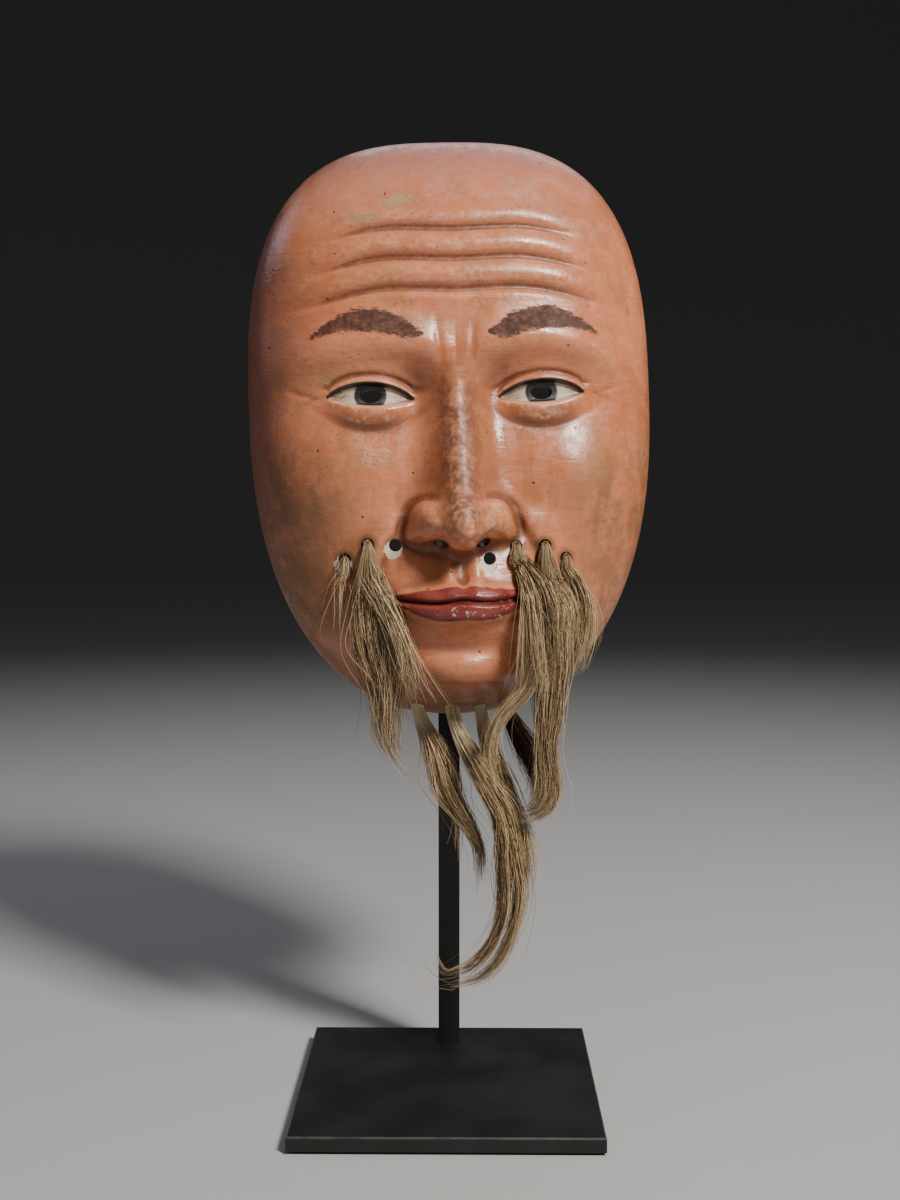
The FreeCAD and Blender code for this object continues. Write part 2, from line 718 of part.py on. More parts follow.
def pan_screw(name, length):
    """Pan head screw: underside of the head at z = 0, shank down."""
    head, shank = size("small_screw_head") / 2, size("small_screw_dia") / 2
    high = size("small_head_high")
    profile = [
        (0, -length),
        (shank - 0.4, -length),
        (shank, 0.4 - length),
        (shank, 0),
        (head, 0),
        (head, high * 0.5),
        (head * 0.75, high),
        (0, high),
    ]
    key = socket(name + "_key", "sizes.small_socket", "sizes.small_head_high * 0.6", "sizes.small_head_high", True)
    return boolean("Cut", name, revolved(name + "_body", profile), key)


def arm():
    """Flat strip screwed to the bar and bent forward; its tongue follows the hang of the mask."""
    flange = part(
        "Box",
        "arm_flange_strip",
        Length="sizes.arm_width",
        Width="sizes.arm_thick",
        Height="sizes.arm_flange",
        Placement__Base__x="-sizes.arm_width / 2",
        Placement__Base__y="fitted.flange_front",
        Placement__Base__z="fitted.post_high - sizes.arm_flange",
    )
    tongue = part(
        "Box",
        "arm_tongue_strip",
        Length="sizes.arm_width",
        Width="sizes.arm_reach + sizes.arm_thick / 2",
        Height="sizes.arm_thick",
    )
    corner = Vector(
        tongue_x - size("arm_width") / 2,
        tongue_back - size("arm_reach") - size("arm_thick") / 2,
        arm_top - size("arm_thick"),
    )
    tongue.Placement = mask_place * Placement(corner, Rotation())
    solid = boolean("Fuse", "arm_bent", flange, tongue)
    for k in range(2):
        hole = cylinder(
            f"arm_hole_{k + 1}",
            "sizes.small_screw_dia / 2 + sizes.hole_gap",
            "sizes.arm_thick * 3",
            "0",
            "fitted.flange_front - sizes.arm_thick",
            arm_screw_height(k),
            Vector(0, 1, 0),
        )
        solid = boolean("Cut", f"arm_drilled_{k + 1}", solid, hole)
    tapped = part(
        "Cylinder",
        "arm_thread",
        Radius="sizes.small_screw_dia / 2 + sizes.thread_gap",
        Height="sizes.arm_thick * 3",
    )
    spot = Vector(tongue_x, cross_y, arm_top - 2 * size("arm_thick"))
    tapped.Placement = mask_place * Placement(spot, Rotation())
    keep("arm", boolean("Cut", "arm_tapped", solid, tapped))


def arm_screws():
    made = []
    for k in range(2):
        screw = pan_screw(f"arm_screw_{k + 1}", size("arm_screw_length"))
        screw.Placement = Placement(Vector(0, 0, 0), Rotation(Vector(0, 0, 1), Vector(0, -1, 0)))
        bind(screw, Placement__Base__y="fitted.flange_front", Placement__Base__z=arm_screw_height(k))
        made.append(screw)
    keep("arm_screws", group("arm_screw_pair", made))


def cross_bar():
    """Flat bar with round ends, across the hollow of the mask."""
    bar = part(
        "Box",
        "cross_strip",
        Length="sizes.cross_length - sizes.cross_width",
        Width="sizes.cross_width",
        Height="sizes.cross_thick",
        Placement__Base__x="-(sizes.cross_length - sizes.cross_width) / 2",
        Placement__Base__y="fitted.cross_middle - sizes.cross_width / 2",
        Placement__Base__z="fitted.arm_top",
    )
    for side in (-1, 1):
        end = cylinder(
            f"cross_end_{side + 2}",
            "sizes.cross_width / 2",
            "sizes.cross_thick",
            f"{side} * (sizes.cross_length - sizes.cross_width) / 2",
            "fitted.cross_middle",
            "fitted.arm_top",
        )
        bar = boolean("Fuse", f"cross_rounded_{side + 2}", bar, end)
    hole = cylinder(
        "cross_hole",
        "sizes.small_screw_dia / 2 + sizes.hole_gap",
        "sizes.cross_thick * 3",
        "fitted.tongue_side",
        "fitted.cross_middle",
        "fitted.arm_top - sizes.cross_thick",
    )
    keep("cross_bar", boolean("Cut", "cross_drilled", bar, hole), mask_place)


def cross_pads():
    """Felt pads glued on the ends of the cross bar."""
    made = []
    for side in (-1, 1):
        inner_end = f"{side} * (sizes.cross_length / 2 - sizes.pad_length)"
        strip = part(
            "Box",
            f"pad_strip_{side + 2}",
            Length="sizes.pad_length - sizes.cross_width / 2",
            Width="sizes.cross_width",
            Height="sizes.pad_thick",
            Placement__Base__y="fitted.cross_middle - sizes.cross_width / 2",
            Placement__Base__z="fitted.cross_top",
        )
        shift = "" if side > 0 else " - (sizes.pad_length - sizes.cross_width / 2)"
        bind(strip, Placement__Base__x=inner_end + shift)
        end = cylinder(
            f"pad_end_{side + 2}",
            "sizes.cross_width / 2",
            "sizes.pad_thick",
            f"{side} * (sizes.cross_length - sizes.cross_width) / 2",
            "fitted.cross_middle",
            "fitted.cross_top",
        )
        made.append(boolean("Fuse", f"pad_{side + 2}", strip, end))
    keep("cross_pads", group("pad_pair", made), mask_place)


def cross_screw():
    screw = pan_screw("cross_screw_solid", size("cross_screw_length"))
    keep("cross_screw", screw, mask_place * Placement(Vector(tongue_x, cross_y, cross_top), Rotation()))


def chin_bumper():
    """Felt disc on the front of the bar, where the rim of the chin leans."""
    disc = cylinder(
        "bumper_disc",
        "sizes.bumper_dia / 2",
        "sizes.bumper_thick",
        "0",
        "fitted.post_front",
        "fitted.bumper_high",
        Vector(0, -1, 0),
    )
    keep("chin_bumper", disc)


def holes():
    """Everything that is drilled or pierced through the shell, in the mask's frame."""
    made = []
    ahead = 2 * size("vault_depth")
    for side in (-1, 1):
        # pierced pupils, flattened holes straight back
        pupil = doc.addObject("Part::Ellipse", f"pupil_outline_{side + 2}")
        bind(pupil, MajorRadius="sizes.pupil_width / 2", MinorRadius="sizes.pupil_height / 2")
        pupil.Placement = Placement(Vector(side * EYE_X, -ahead, EYE_Z + PUPIL_UP), Rotation(Vector(1, 0, 0), 90))
        bore = doc.addObject("Part::Extrusion", f"pupil_bore_{side + 2}")
        bore.Base = pupil
        bore.DirMode = "Custom"
        bore.Dir = Vector(0, 1, 0)
        bore.LengthFwd = ahead - size("cord_hole_in")
        bore.Solid = True
        made.append(bore)
        # nostrils slope up and back into the hollow
        made.append(
            cylinder(
                f"nostril_{side + 2}",
                "sizes.nostril_dia / 2",
                "sizes.vault_depth * 0.72",
                f"{side} * sizes.nostril_out",
                f"-(sizes.vault_depth + {NOSTRIL_FRONT})",
                f"{NOSE_Z - NOSTRIL_DROP}",
                Vector(0, 1, NOSTRIL_SLOPE),
            )
        )
        made.append(
            cylinder(
                f"cord_hole_{side + 2}",
                "sizes.cord_hole_dia / 2",
                "sizes.wall * 4",
                f"{side} * (sizes.mask_half_width - 2 * sizes.wall)",
                "-sizes.cord_hole_in",
                "sizes.widest_above_chin",
                Vector(side, 0, 0),
            )
        )
    for k, (x, z) in enumerate(list(LIP_HOLES.values()) + EMPTY_HOLES):
        made.append(
            cylinder(
                f"lip_hole_{k + 1}",
                "sizes.hair_hole_dia / 2",
                "sizes.vault_depth * 2",
                f"{x}",
                "-sizes.vault_depth * 2",
                f"{z}",
                Vector(0, 1, 0),
            )
        )
    for k, (x, depth) in enumerate(CHIN_HOLES.values()):
        made.append(
            cylinder(
                f"chin_hole_{k + 1}",
                "sizes.hair_hole_dia / 2",
                "sizes.wall * 5",
                f"{x}",
                f"{-depth}",
                "-sizes.wall * 1.25",
            )
        )
    return made


def mask_shell():
    blank = doc.addObject("Part::Feature", "mask_blank")
    blank.Shape = carved_shell()
    tools = doc.addObject("Part::MultiFuse", "mask_holes")
    tools.Shapes = holes()
    keep("mask_shell", boolean("Cut", "mask_pierced", blank, tools), mask_place)


def ring(centre, along, wide, thick):
    """A closed oval across the hair's run, its width in the plane of the face."""
    along = Vector(along).normalize()
    across = along.cross(Vector(0, 1, 0))
    across = across.normalize() if across.Length > 0.05 else Vector(1, 0, 0)
    through = along.cross(across).normalize()
    oval = Part.Ellipse(centre + across * (wide + 0.01) / 2, centre + through * min(wide, thick) / 2, centre)
    return Part.Wire([oval.toShape()])


def lock(points, sizes, root_ways):
    """A solid through oval sections; the first of them face the ways given, the rest follow the run."""
    last = len(points) - 1
    ways = [points[min(k + 1, last)] - points[max(k - 1, 0)] for k in range(last + 1)]
    ways[: len(root_ways)] = root_ways
    rings = [ring(p, way, wide, thick) for p, way, (wide, thick) in zip(points, ways, sizes)]
    return Part.makeLoft(rings, True, True)


def smooth_run(stations, steps=3):
    """More stations between the given ones, on a curve that passes through each of them."""
    run = [stations[0]]
    last = len(stations) - 1
    for k in range(last):
        a, b, c, d = (stations[min(max(k + n, 0), last)] for n in (-1, 0, 1, 2))
        for j in range(1, steps + 1):
            t = j / steps
            run.append(
                tuple(
                    ((2 * q) + (r - p) * t + (2 * p - 5 * q + 4 * r - u) * t * t + (3 * q - p - 3 * r + u) * t**3) / 2
                    for p, q, r, u in zip(a, b, c, d)
                )
            )
    return run


def face_front(x, z, half_width, half_height):
    """The foremost of the face in a window round x and z; nothing where the window misses it."""
    found = [0.0]
    for i in range(-2, 3):
        for j in range(-2, 3):
            px, pz = x + i * half_width / 2, z + j * half_height / 2
            if outer.gauge(px, pz) < 1:
                found.append(face(px, pz))
    return max(found)


def moustache_lock(name):
    """Forward out of its hole, down the face without touching it, then free."""
    x, z = LIP_HOLES[name]
    root = size("hair_hole_dia") - 2 * size("hair_gap")
    mouth_front = face_front(x, z, root / 2, root / 2)
    out = -(mouth_front + size("lay_gap") + root / 2)
    points = [Vector(x, size("root_length") - face(x, z), z), Vector(x, -mouth_front - size("lay_gap") / 2, z)]
    points.append(Vector(x, out, z - root / 4))
    sizes = [(root, root), (root, root), (root, root)]
    y = out - 0.5
    fall = z - root / 2
    for px, pz, wide, thick in smooth_run([(x, z - root, root + 0.6, root - 0.6)] + MOUSTACHE[name]):
        y += SETTLE * max(0.0, fall - pz)
        front = face_front(px, pz, wide / 2, 3.0)
        if front > 0:
            y = min(y, -(front + size("lay_gap") + thick / 2))
        fall = pz
        points.append(Vector(px, y, pz))
        sizes.append((wide, thick))
    return lock(points, sizes, [Vector(0, -1, 0), Vector(0, -1, 0), Vector(0, -1, -1)])


def beard_lock(name):
    """Down out of its hole in the chin, then free."""
    x, depth = CHIN_HOLES[name]
    root = size("hair_hole_dia") - 2 * size("hair_gap")
    under = chin_under(x, depth)
    lowest = min(chin_under(x + i * root / 2, depth + j * root / 2) for i in (-1, 0, 1) for j in (-1, 0, 1))
    points = [Vector(x, -depth, under + size("root_length")), Vector(x, -depth, lowest - size("lay_gap"))]
    sizes = [(root, root), (root, root)]
    run = smooth_run([(x, lowest - size("lay_gap") - 1.5, root, root, -depth)] + BEARD[name])
    for px, pz, wide, thick, y in run:
        points.append(Vector(px, y, pz))
        sizes.append((wide, thick))
    return lock(points, sizes, [Vector(0, 0, -1), Vector(0, 0, -1)])


def chin_under(x, depth):
    """Height of the chin's underside, depth in front of the rim's plane."""
    low, high = 0.0, 30.0
    for _ in range(50):
        middle_z = (low + high) / 2
        if outer.gauge(x, middle_z) < 1 and face(x, middle_z) > depth:
            high = middle_z
        else:
            low = middle_z
    return low


def hair():
    for name in MOUSTACHE:
        made = doc.addObject("Part::Feature", "moustache_" + name)
        made.Shape = moustache_lock(name)
        keep("moustache_" + name, made, mask_place)
    for name in BEARD:
        made = doc.addObject("Part::Feature", "beard_" + name)
        made.Shape = beard_lock(name)
        keep("beard_" + name, made, mask_place)


def pegs():
    """Round wooden pegs that wedge each lock in its hole from behind."""
    radius = size("hair_hole_dia") / 2 - size("hair_gap")
    lip = []
    for x, z in LIP_HOLES.values():
        back = -face(x, z) + size("root_length") + size("seat_gap")
        lip.append(Part.makeCylinder(radius, size("peg_length"), Vector(x, back, z), Vector(0, 1, 0)))
    chin = []
    for x, depth in CHIN_HOLES.values():
        low = chin_under(x, depth) + size("root_length") + size("seat_gap")
        chin.append(Part.makeCylinder(radius, size("peg_length"), Vector(x, -depth, low)))
    for name, solids in (("moustache_pegs", lip), ("beard_pegs", chin)):
        made = doc.addObject("Part::Feature", name)
        made.Shape = Part.makeCompound(solids)
        keep(name, made, mask_place)


def check():
    """Stops at a feature that failed or a sub-part without a sound solid."""
    for thing in doc.Objects:
        if "Invalid" in thing.State or "Error" in thing.State:
            raise RuntimeError(f"{thing.Name} failed: {thing.State}")
    for name, thing in nodes.items():
        shape = thing.Shape
        if shape.isNull() or not shape.isValid() or not shape.Solids:
            raise RuntimeError(f"{name} has no sound solid")


def main():
    base_plate()
    base_felt()
    post()
    foot_screw()
    arm()
    arm_screws()
    cross_bar()
    cross_pads()
    cross_screw()
    chin_bumper()
    mask_shell()
    hair()
    pegs()
    doc.recompute()
    check()
    os.makedirs("parts", exist_ok=True)
    for name, thing in nodes.items():
        thing.Shape.exportStep(f"parts/{name}.step")
        print(name, len(thing.Shape.Solids), round(thing.Shape.Volume, 1))


main()
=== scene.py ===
import math

import bpy
import numpy as np
from mathutils import Matrix, Vector


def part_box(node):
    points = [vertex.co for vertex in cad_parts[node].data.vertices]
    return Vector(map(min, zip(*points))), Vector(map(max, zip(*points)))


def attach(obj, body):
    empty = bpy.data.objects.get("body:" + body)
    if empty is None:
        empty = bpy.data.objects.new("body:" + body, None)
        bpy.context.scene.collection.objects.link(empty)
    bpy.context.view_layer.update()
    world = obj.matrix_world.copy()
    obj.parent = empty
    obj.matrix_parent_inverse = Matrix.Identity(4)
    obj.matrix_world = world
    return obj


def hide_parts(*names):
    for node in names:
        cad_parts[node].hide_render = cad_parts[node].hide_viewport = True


# A lacquered wooden mask of an old man with planted hair, on its black steel stand.
# Shapes are worked out in millimetres in the mask's own frame, as in the part's source: its rim in the plane
# y = 0, its chin at z = 0, its nose towards -Y. The object itself is in metres.

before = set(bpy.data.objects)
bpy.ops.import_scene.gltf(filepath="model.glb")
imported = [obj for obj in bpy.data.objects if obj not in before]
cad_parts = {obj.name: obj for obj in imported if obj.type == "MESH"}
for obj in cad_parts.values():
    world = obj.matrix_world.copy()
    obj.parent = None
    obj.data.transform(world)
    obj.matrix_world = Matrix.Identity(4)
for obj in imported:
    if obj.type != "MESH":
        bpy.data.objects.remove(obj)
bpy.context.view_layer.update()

MM = 0.001
scene = bpy.context.scene
chance = np.random.default_rng(7)

# how the mask hangs
MASK_FOOT = (2.996, 33.988, 134.0)
MASK_TURN = 4.0
MASK_ROLL = 1.5
MASK_LEAN = 2.0

# the carved shell
HEIGHT = 210.0
HALF_WIDTH = 74.0
LEVEL = 112.0
DEEP = 50.0
WALL = 8.0
NOSE_RISE = 20.0
OUTLINE_TOP = 2.9
OUTLINE_LOW = 2.3
VAULT_FLAT = 3.4
VAULT_EDGE = 0.38
FADE = 0.14
CROWD = 0.15
CROWD_POWER = 7.6
THIRD = 64.0
NOSE_Z = THIRD
BROW_Z = 2 * THIRD
EYE_X = 29.5
EYE_Z = BROW_Z - 14.5
EYE_HALF = 14.5
MOUTH_Z = NOSE_Z * 2 / 3
MOUTH_HALF = 24.5
PUPIL = (7.4, 5.2)
PUPIL_UP = 1.0
NOSTRIL_DIA = 5.0
NOSTRIL_OUT = 7.2
NOSTRIL_FRONT = 12.0
NOSTRIL_DROP = 2.6
NOSTRIL_SLOPE = 0.35
CORD_HOLE_DIA = 5.0
CORD_HOLE_IN = 10.0
HAIR_HOLE_DIA = 4.4
ROOT_LENGTH = 3.4
HAIR_GAP = 0.1
LAY_GAP = 0.7

# the tubes that cut the holes: how far ahead of the rim or below the chin they start, and their lengths
CUT_AHEAD = 100
CUT_BELOW = 10
EYE_CUT = 90
NOSTRIL_CUT = 36
LIP_CUT = 100
CHIN_CUT = 40

# grids of the carved surfaces, across and up
FACE_GRID = ((400, 540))
HOLLOW_GRID = (110, 150)
RIM_STEPS = 5
RIM_ROUND = 0.8
DENSE = 0.62

# Soft rises and hollows: out from the middle, above the chin, half width, half height, rise.
SWELLS = {
    "forehead": (0, 160, 48, 32, 3.0),
    "temple": (62, 140, 12, 20, -2.5),
    "socket": (EYE_X - 1.5, EYE_Z + 1, 19, 11.5, -8.5),
    "inner corner": (15.5, EYE_Z + 2, 6, 9, -2.5),
    "cheekbone": (42, 86, 18, 16, 5.0),
    "cheek": (48, 52, 14, 18, -1.5),
    "muzzle": (0, MOUTH_Z + 1, 30, 19, 8.5),
    "jaw": (0, 20, 34, 24, 9.0),
    "lip groove": (0, 54.5, 2.7, 7.5, -1.4),
    "groove edge": (4.8, 54, 2.0, 7, 0.9),
    "mouth corner": (MOUTH_HALF + 2, MOUTH_Z + 1, 4.5, 4.5, -2.2),
    "chin": (0, 13.5, 17, 11, 6.5),
}

# Holes for hair in the face, out from the middle and above the chin; the last two have lost theirs.
LIP_HOLES = {
    "left": (-32.0, 63.5),
    "left_stray": (-40.0, 58.5),
    "right_inner": (19.0, 61.5),
    "right_middle": (29.0, 61.5),
    "right_outer": (36.5, 57.0),
}
EMPTY_HOLES = [(-22.5, 63.0), (9.5, 57.5)]
# Holes up into the chin, out from the middle and in front of the rim.
CHIN_HOLES = {
    "outer_left": (-15.2, 22.0),
    "inner_left": (-3.4, 25.0),
    "inner_right": (7.2, 23.0),
    "outer_right": (16.8, 22.0),
}

# Where flaked lacquer shows the ground: out from the middle, above the chin, half width, half height.
FLAKES = [
    (-19.0, 181.0, 6.0, 3.4),
    (-31.0, 175.0, 5.0, 1.4),
    (22.0, 189.0, 1.4, 1.0),
    (-44.0, 120.0, 1.6, 1.1),
]


def bell(distance, reach):
    return np.exp(-((distance / reach) ** 2))


def step(distance, reach):
    """0 well below, 1 well above, over about reach."""
    return 1 / (1 + np.exp(-np.clip(4 * distance / reach, -40, 40)))


class Vault:
    """A plain smooth vault over an outline; the face's own, or the hollow's, which is a wall smaller."""

    def __init__(self, inset):
        self.wide = HALF_WIDTH - inset
        self.above = HEIGHT - LEVEL - inset
        self.below = LEVEL - inset
        self.deep = DEEP - inset

    def gauge(self, x, z):
        up = z > LEVEL
        power = np.where(up, OUTLINE_TOP, OUTLINE_LOW)
        high = np.where(up, self.above, self.below)
        return ((np.abs(x) / self.wide) ** power + (np.abs(z - LEVEL) / high) ** power) ** (1 / power)

    def rise(self, x, z):
        return self.deep * np.maximum(0, 1 - self.gauge(x, z) ** VAULT_FLAT) ** VAULT_EDGE

    def at(self, a, b):
        """The front view's x and z for a and b from -1 to 1: a square laid over the outline."""
        p = a * np.sqrt(1 - b * b / 2)
        q = b * np.sqrt(1 - a * a / 2)
        r = np.maximum(np.hypot(p, q), 1e-9)
        share = np.minimum(1, (1 + CROWD) * r - CROWD * r**CROWD_POWER)
        power = np.where(q > 0, OUTLINE_TOP, OUTLINE_LOW)
        high = np.where(q > 0, self.above, self.below)
        reach = (np.abs(p / r) ** power + np.abs(q / r) ** power) ** (-1 / power)
        return share * reach * p / r * self.wide, LEVEL + share * reach * q / r * high


outer = Vault(0.0)
inner = Vault(WALL)


def lids(s):
    """Heights of the upper and the lower lid at s from the middle, and the place along the eye, -1 to 1."""
    t = (s - EYE_X) / EYE_HALF
    arch = np.clip(1 - t * t, 0, 1)
    upper = EYE_Z + 4.6 * arch**0.75 + 0.6 * t
    lower = EYE_Z - 2.6 * arch**0.9 + 0.6 * t
    return upper, lower, t


def eyes(s, z):
    """Eyeball, lids, the slit between them and the soft bag below."""
    upper, lower, t = lids(s)
    near = step(1.02 - np.abs(t), 0.25)
    ball = ((s - EYE_X) / 15.5) ** 2 + ((z - EYE_Z) / 10.0) ** 2
    bag = EYE_Z - 11.0 + 0.02 * (s - EYE_X) ** 2
    f = 7.4 * np.exp(-(ball**1.35))
    f = f - 1.6 * step(z - lower, 0.8) * step(upper - z, 0.8) * step(1.02 - np.abs(t), 0.12)
    f = f - 1.0 * bell(z - upper - 3.4, 1.2) * step(1.1 - np.abs(t), 0.3)
    f = f + 0.9 * bell(z - upper - 1.2, 1.3) * near + 0.7 * bell(z - lower + 1.3, 1.5) * near
    f = f - 1.0 * bell(z - bag, 1.8) * bell(s - EYE_X, 14)
    f = f + 1.0 * bell(z - bag - 3.6, 3.0) * bell(s - EYE_X, 13)
    for slope in (-0.5, 0.35):
        out = s - 48.0
        f = f - 0.45 * bell(z - EYE_Z - 0.5 - slope * out * 0.8, 1.1) * step(out, 4) * step(9 - out, 6)
    return f


def nose(x, z):
    """Bridge, tip and wings, cut off below by the base of the nose."""
    s = np.abs(x)
    down = np.clip((BROW_Z - z) / (BROW_Z - NOSE_Z), 0, 1.2)
    tall = 3.0 + (NOSE_RISE - 3.0) * down**1.2
    base = NOSE_Z - 0.5 - 2.2 * bell(x, 7.5) + 1.2 * bell(s - 8.5, 4.0)
    under = step(z - base, 5.0)
    f = tall * np.exp(-((s / (6.8 + 3.4 * down)) ** 2.2)) * under * step(BROW_Z + 4 - z, 18)
    f = f + 5.0 * bell(x, 7.5) * bell(z - NOSE_Z - 6.5, 8.0) * under
    f = f + 10.0 * bell(s - 12.0, 5.6) * bell(z - NOSE_Z - 6.5, 8.0) * step(z - NOSE_Z - 0.3, 4.0)
    behind = np.hypot(s - 11, z - NOSE_Z - 5) - 9.6
    return f - 1.3 * bell(behind, 1.9) * step(s - 9, 6) * step(z - NOSE_Z + 3, 6)


def lip_lines(x):
    """Height of the line between the lips at x, and how high and low the lips reach from it."""
    s = np.abs(x)
    seam = MOUTH_Z + 1.0 + 1.5 * bell(x, 6.5) - 1.6 * bell(x, 15) + 0.8 * bell(s - 25, 7)
    full = np.clip(1 - (s / (MOUTH_HALF + 0.5)) ** 2, 0, 1)
    return seam, 5.6 * full**0.7 - 1.2 * bell(x, 2.6) * full, 6.8 * full**0.8, full


def mouth(x, z):
    """Both lips and the line between them."""
    seam, high, low, full = lip_lines(x)
    f = 3.4 * full**0.5 * np.exp(-((np.abs(z - seam - high / 2) / (0.62 * high + 0.6)) ** 2.6))
    f = f + 4.4 * full**0.5 * np.exp(-((np.abs(seam - z - low / 2) / (0.62 * low + 0.6)) ** 2.6))
    return f - 3.0 * bell(z - seam, 1.1) * step(MOUTH_HALF + 1.5 - np.abs(x), 4)


def folds(x, z):
    """Brow ridge, chin crease, cheek folds and the three calm lines of the forehead."""
    s = np.abs(x)
    f = 4.6 * bell(z - BROW_Z - 3.5 + 0.006 * (s - 26) ** 2, 8.5) * step(s - 5, 12) * step(58 - s, 16)
    f = f - 3.4 * bell(z - 27.0 - 0.006 * x * x, 4.6) * bell(x, 20)
    f = f - 0.6 * bell(s - 5.4 - 0.09 * (z - BROW_Z), 1.5) * bell(z - BROW_Z - 3, 7)
    run = np.clip((NOSE_Z + 9 - z) / 46, 0, 1)
    line = 17.5 + 17.5 * np.sin(run * math.pi / 2) ** 0.9 - 3.0 * run**3
    on = step(NOSE_Z + 10 - z, 7) * step(z - 27, 16)
    f = f + (2.2 * bell(s - line - 6.5, 6.5) - 1.3 * bell(s - line, 2.4)) * on
    for k in range(3):
        row = 149.5 + 10.6 * k + 1.8 * bell(s - 26, 17) - 0.0016 * x * x
        reach = step(47 - 5 * k - s, 20)
        f = f + (1.1 * bell(z - row - 5.0, 3.4) - 1.5 * bell(z - row, 1.7)) * reach
    return f


def face(x, z):
    """How far the front of the mask stands forward of the rim's plane."""
    s = np.abs(x)
    f = eyes(s, z) + nose(x, z) + mouth(x, z) + folds(x, z)
    for out, high, half_width, half_height, rise in SWELLS.values():
        f = f + rise * bell(s - out, half_width) * bell(z - high, half_height)
    fade = np.clip((1 - outer.gauge(x, z)) / FADE, 0, 1)
    return outer.rise(x, z) + f * fade * fade * (3 - 2 * fade)


def hollow(x, z):
    """How far the carved-out back reaches forward: a plain vault with a dip behind the nose."""
    s = np.abs(x)
    f = 11.0 * bell(x, 11) * bell(z - NOSE_Z - 14, 18)
    f = f + 6.0 * bell(x, 26) * bell(z - 30, 22)
    f = f - 3.5 * bell(s - EYE_X, 17) * bell(z - EYE_Z, 12)
    fade = np.clip((1 - inner.gauge(x, z)) / (2 * FADE), 0, 1)
    return inner.rise(x, z) + f * fade * fade * (3 - 2 * fade)


# From the mask's frame to the object's, in metres.
hang = (
    Matrix.Rotation(math.radians(MASK_TURN), 4, "Z")
    @ Matrix.Rotation(-math.radians(MASK_ROLL), 4, "Y")
    @ Matrix.Rotation(-math.radians(MASK_LEAN), 4, "X")
)
TO_ROW = np.array(Matrix.Translation(Vector(MASK_FOOT)) @ hang)
TO_MASK = np.linalg.inv(TO_ROW)


def to_row(points):
    """Points of the mask's frame in millimetres, as points of the object's in metres."""
    return (points @ TO_ROW[:3, :3].T + TO_ROW[:3, 3]) * MM


def to_mask(points):
    return (points / MM) @ TO_MASK[:3, :3].T + TO_MASK[:3, 3]


def mesh_object(name, points, faces, sizes=None):
    """An object of those points; faces is an array of equal faces, or a flat list with their sizes."""
    mesh = bpy.data.meshes.new(name)
    if sizes is None:
        sizes = np.full(len(faces), faces.shape[1])
    corners = np.asarray(faces).ravel()
    mesh.vertices.add(len(points))
    mesh.vertices.foreach_set("co", np.asarray(points, np.float32).ravel())
    mesh.loops.add(len(corners))
    mesh.loops.foreach_set("vertex_index", corners.astype(np.int32))
    mesh.polygons.add(len(sizes))
    mesh.polygons.foreach_set("loop_start", np.concatenate([[0], np.cumsum(sizes)[:-1]]).astype(np.int32))
    mesh.update(calc_edges=True)
    mesh.validate()
    made = bpy.data.objects.new(name, mesh)
    scene.collection.objects.link(made)
    return made


def grid_faces(across, up, flip=False):
    k = np.arange(across * up).reshape(up, across)
    quads = [k[:-1, :-1], k[:-1, 1:], k[1:, 1:], k[1:, :-1]]
    return np.stack(quads[::-1] if flip else quads, -1).reshape(-1, 4)


def border(across, up):
    """Indices round the edge of a grid, in order."""
    k = np.arange(across * up).reshape(up, across)
    return np.concatenate([k[0, :-1], k[:-1, -1], k[-1, :0:-1], k[:0:-1, 0]])


def spread(count):
    """Places from -1 to 1 that lie closer together in the middle, where the features are."""
    even = np.linspace(-1, 1, 4001)
    weight = 1 + 0.8 * step(DENSE - np.abs(even), 0.3)
    run = np.concatenate([[0], np.cumsum((weight[1:] + weight[:-1]) / 2)])
    return np.interp(np.linspace(0, run[-1], count), run, even)


def tool_marks(x, z):
    """Shallow scallops that a gouge leaves in the hollow."""
    across = x / 6.5 + 0.35 * np.sin(z / 9.0)
    along = z / 11.0 + 0.5 * np.floor(across)
    u = across - np.floor(across) - 0.5
    v = along - np.floor(along) - 0.5
    return 0.45 * (1 - 4 * u * u) * (1 - 0.6 * v * v)


def gouged(x, z):
    """The hollow with its tool marks, which fade out towards the rim."""
    edge = np.clip((1 - inner.gauge(x, z)) / 0.1, 0, 1)
    return hollow(x, z) - (tool_marks(x, z) - 0.25) * edge


def laid_over(vault, places_across, places_up, reach):
    """A grid over the vault's outline, as far forward as reach says, with its border at the rim."""
    a, b = np.meshgrid(places_across, places_up)
    x, z = vault.at(a, b)
    on_rim = np.maximum(np.abs(a), np.abs(b)) > 1 - 1e-9
    return np.stack([x, np.where(on_rim, -RIM_ROUND, -reach(x, z)), z], -1).reshape(-1, 3)


def angles(ring):
    return np.arctan2(ring[:, 2] - LEVEL, ring[:, 0])


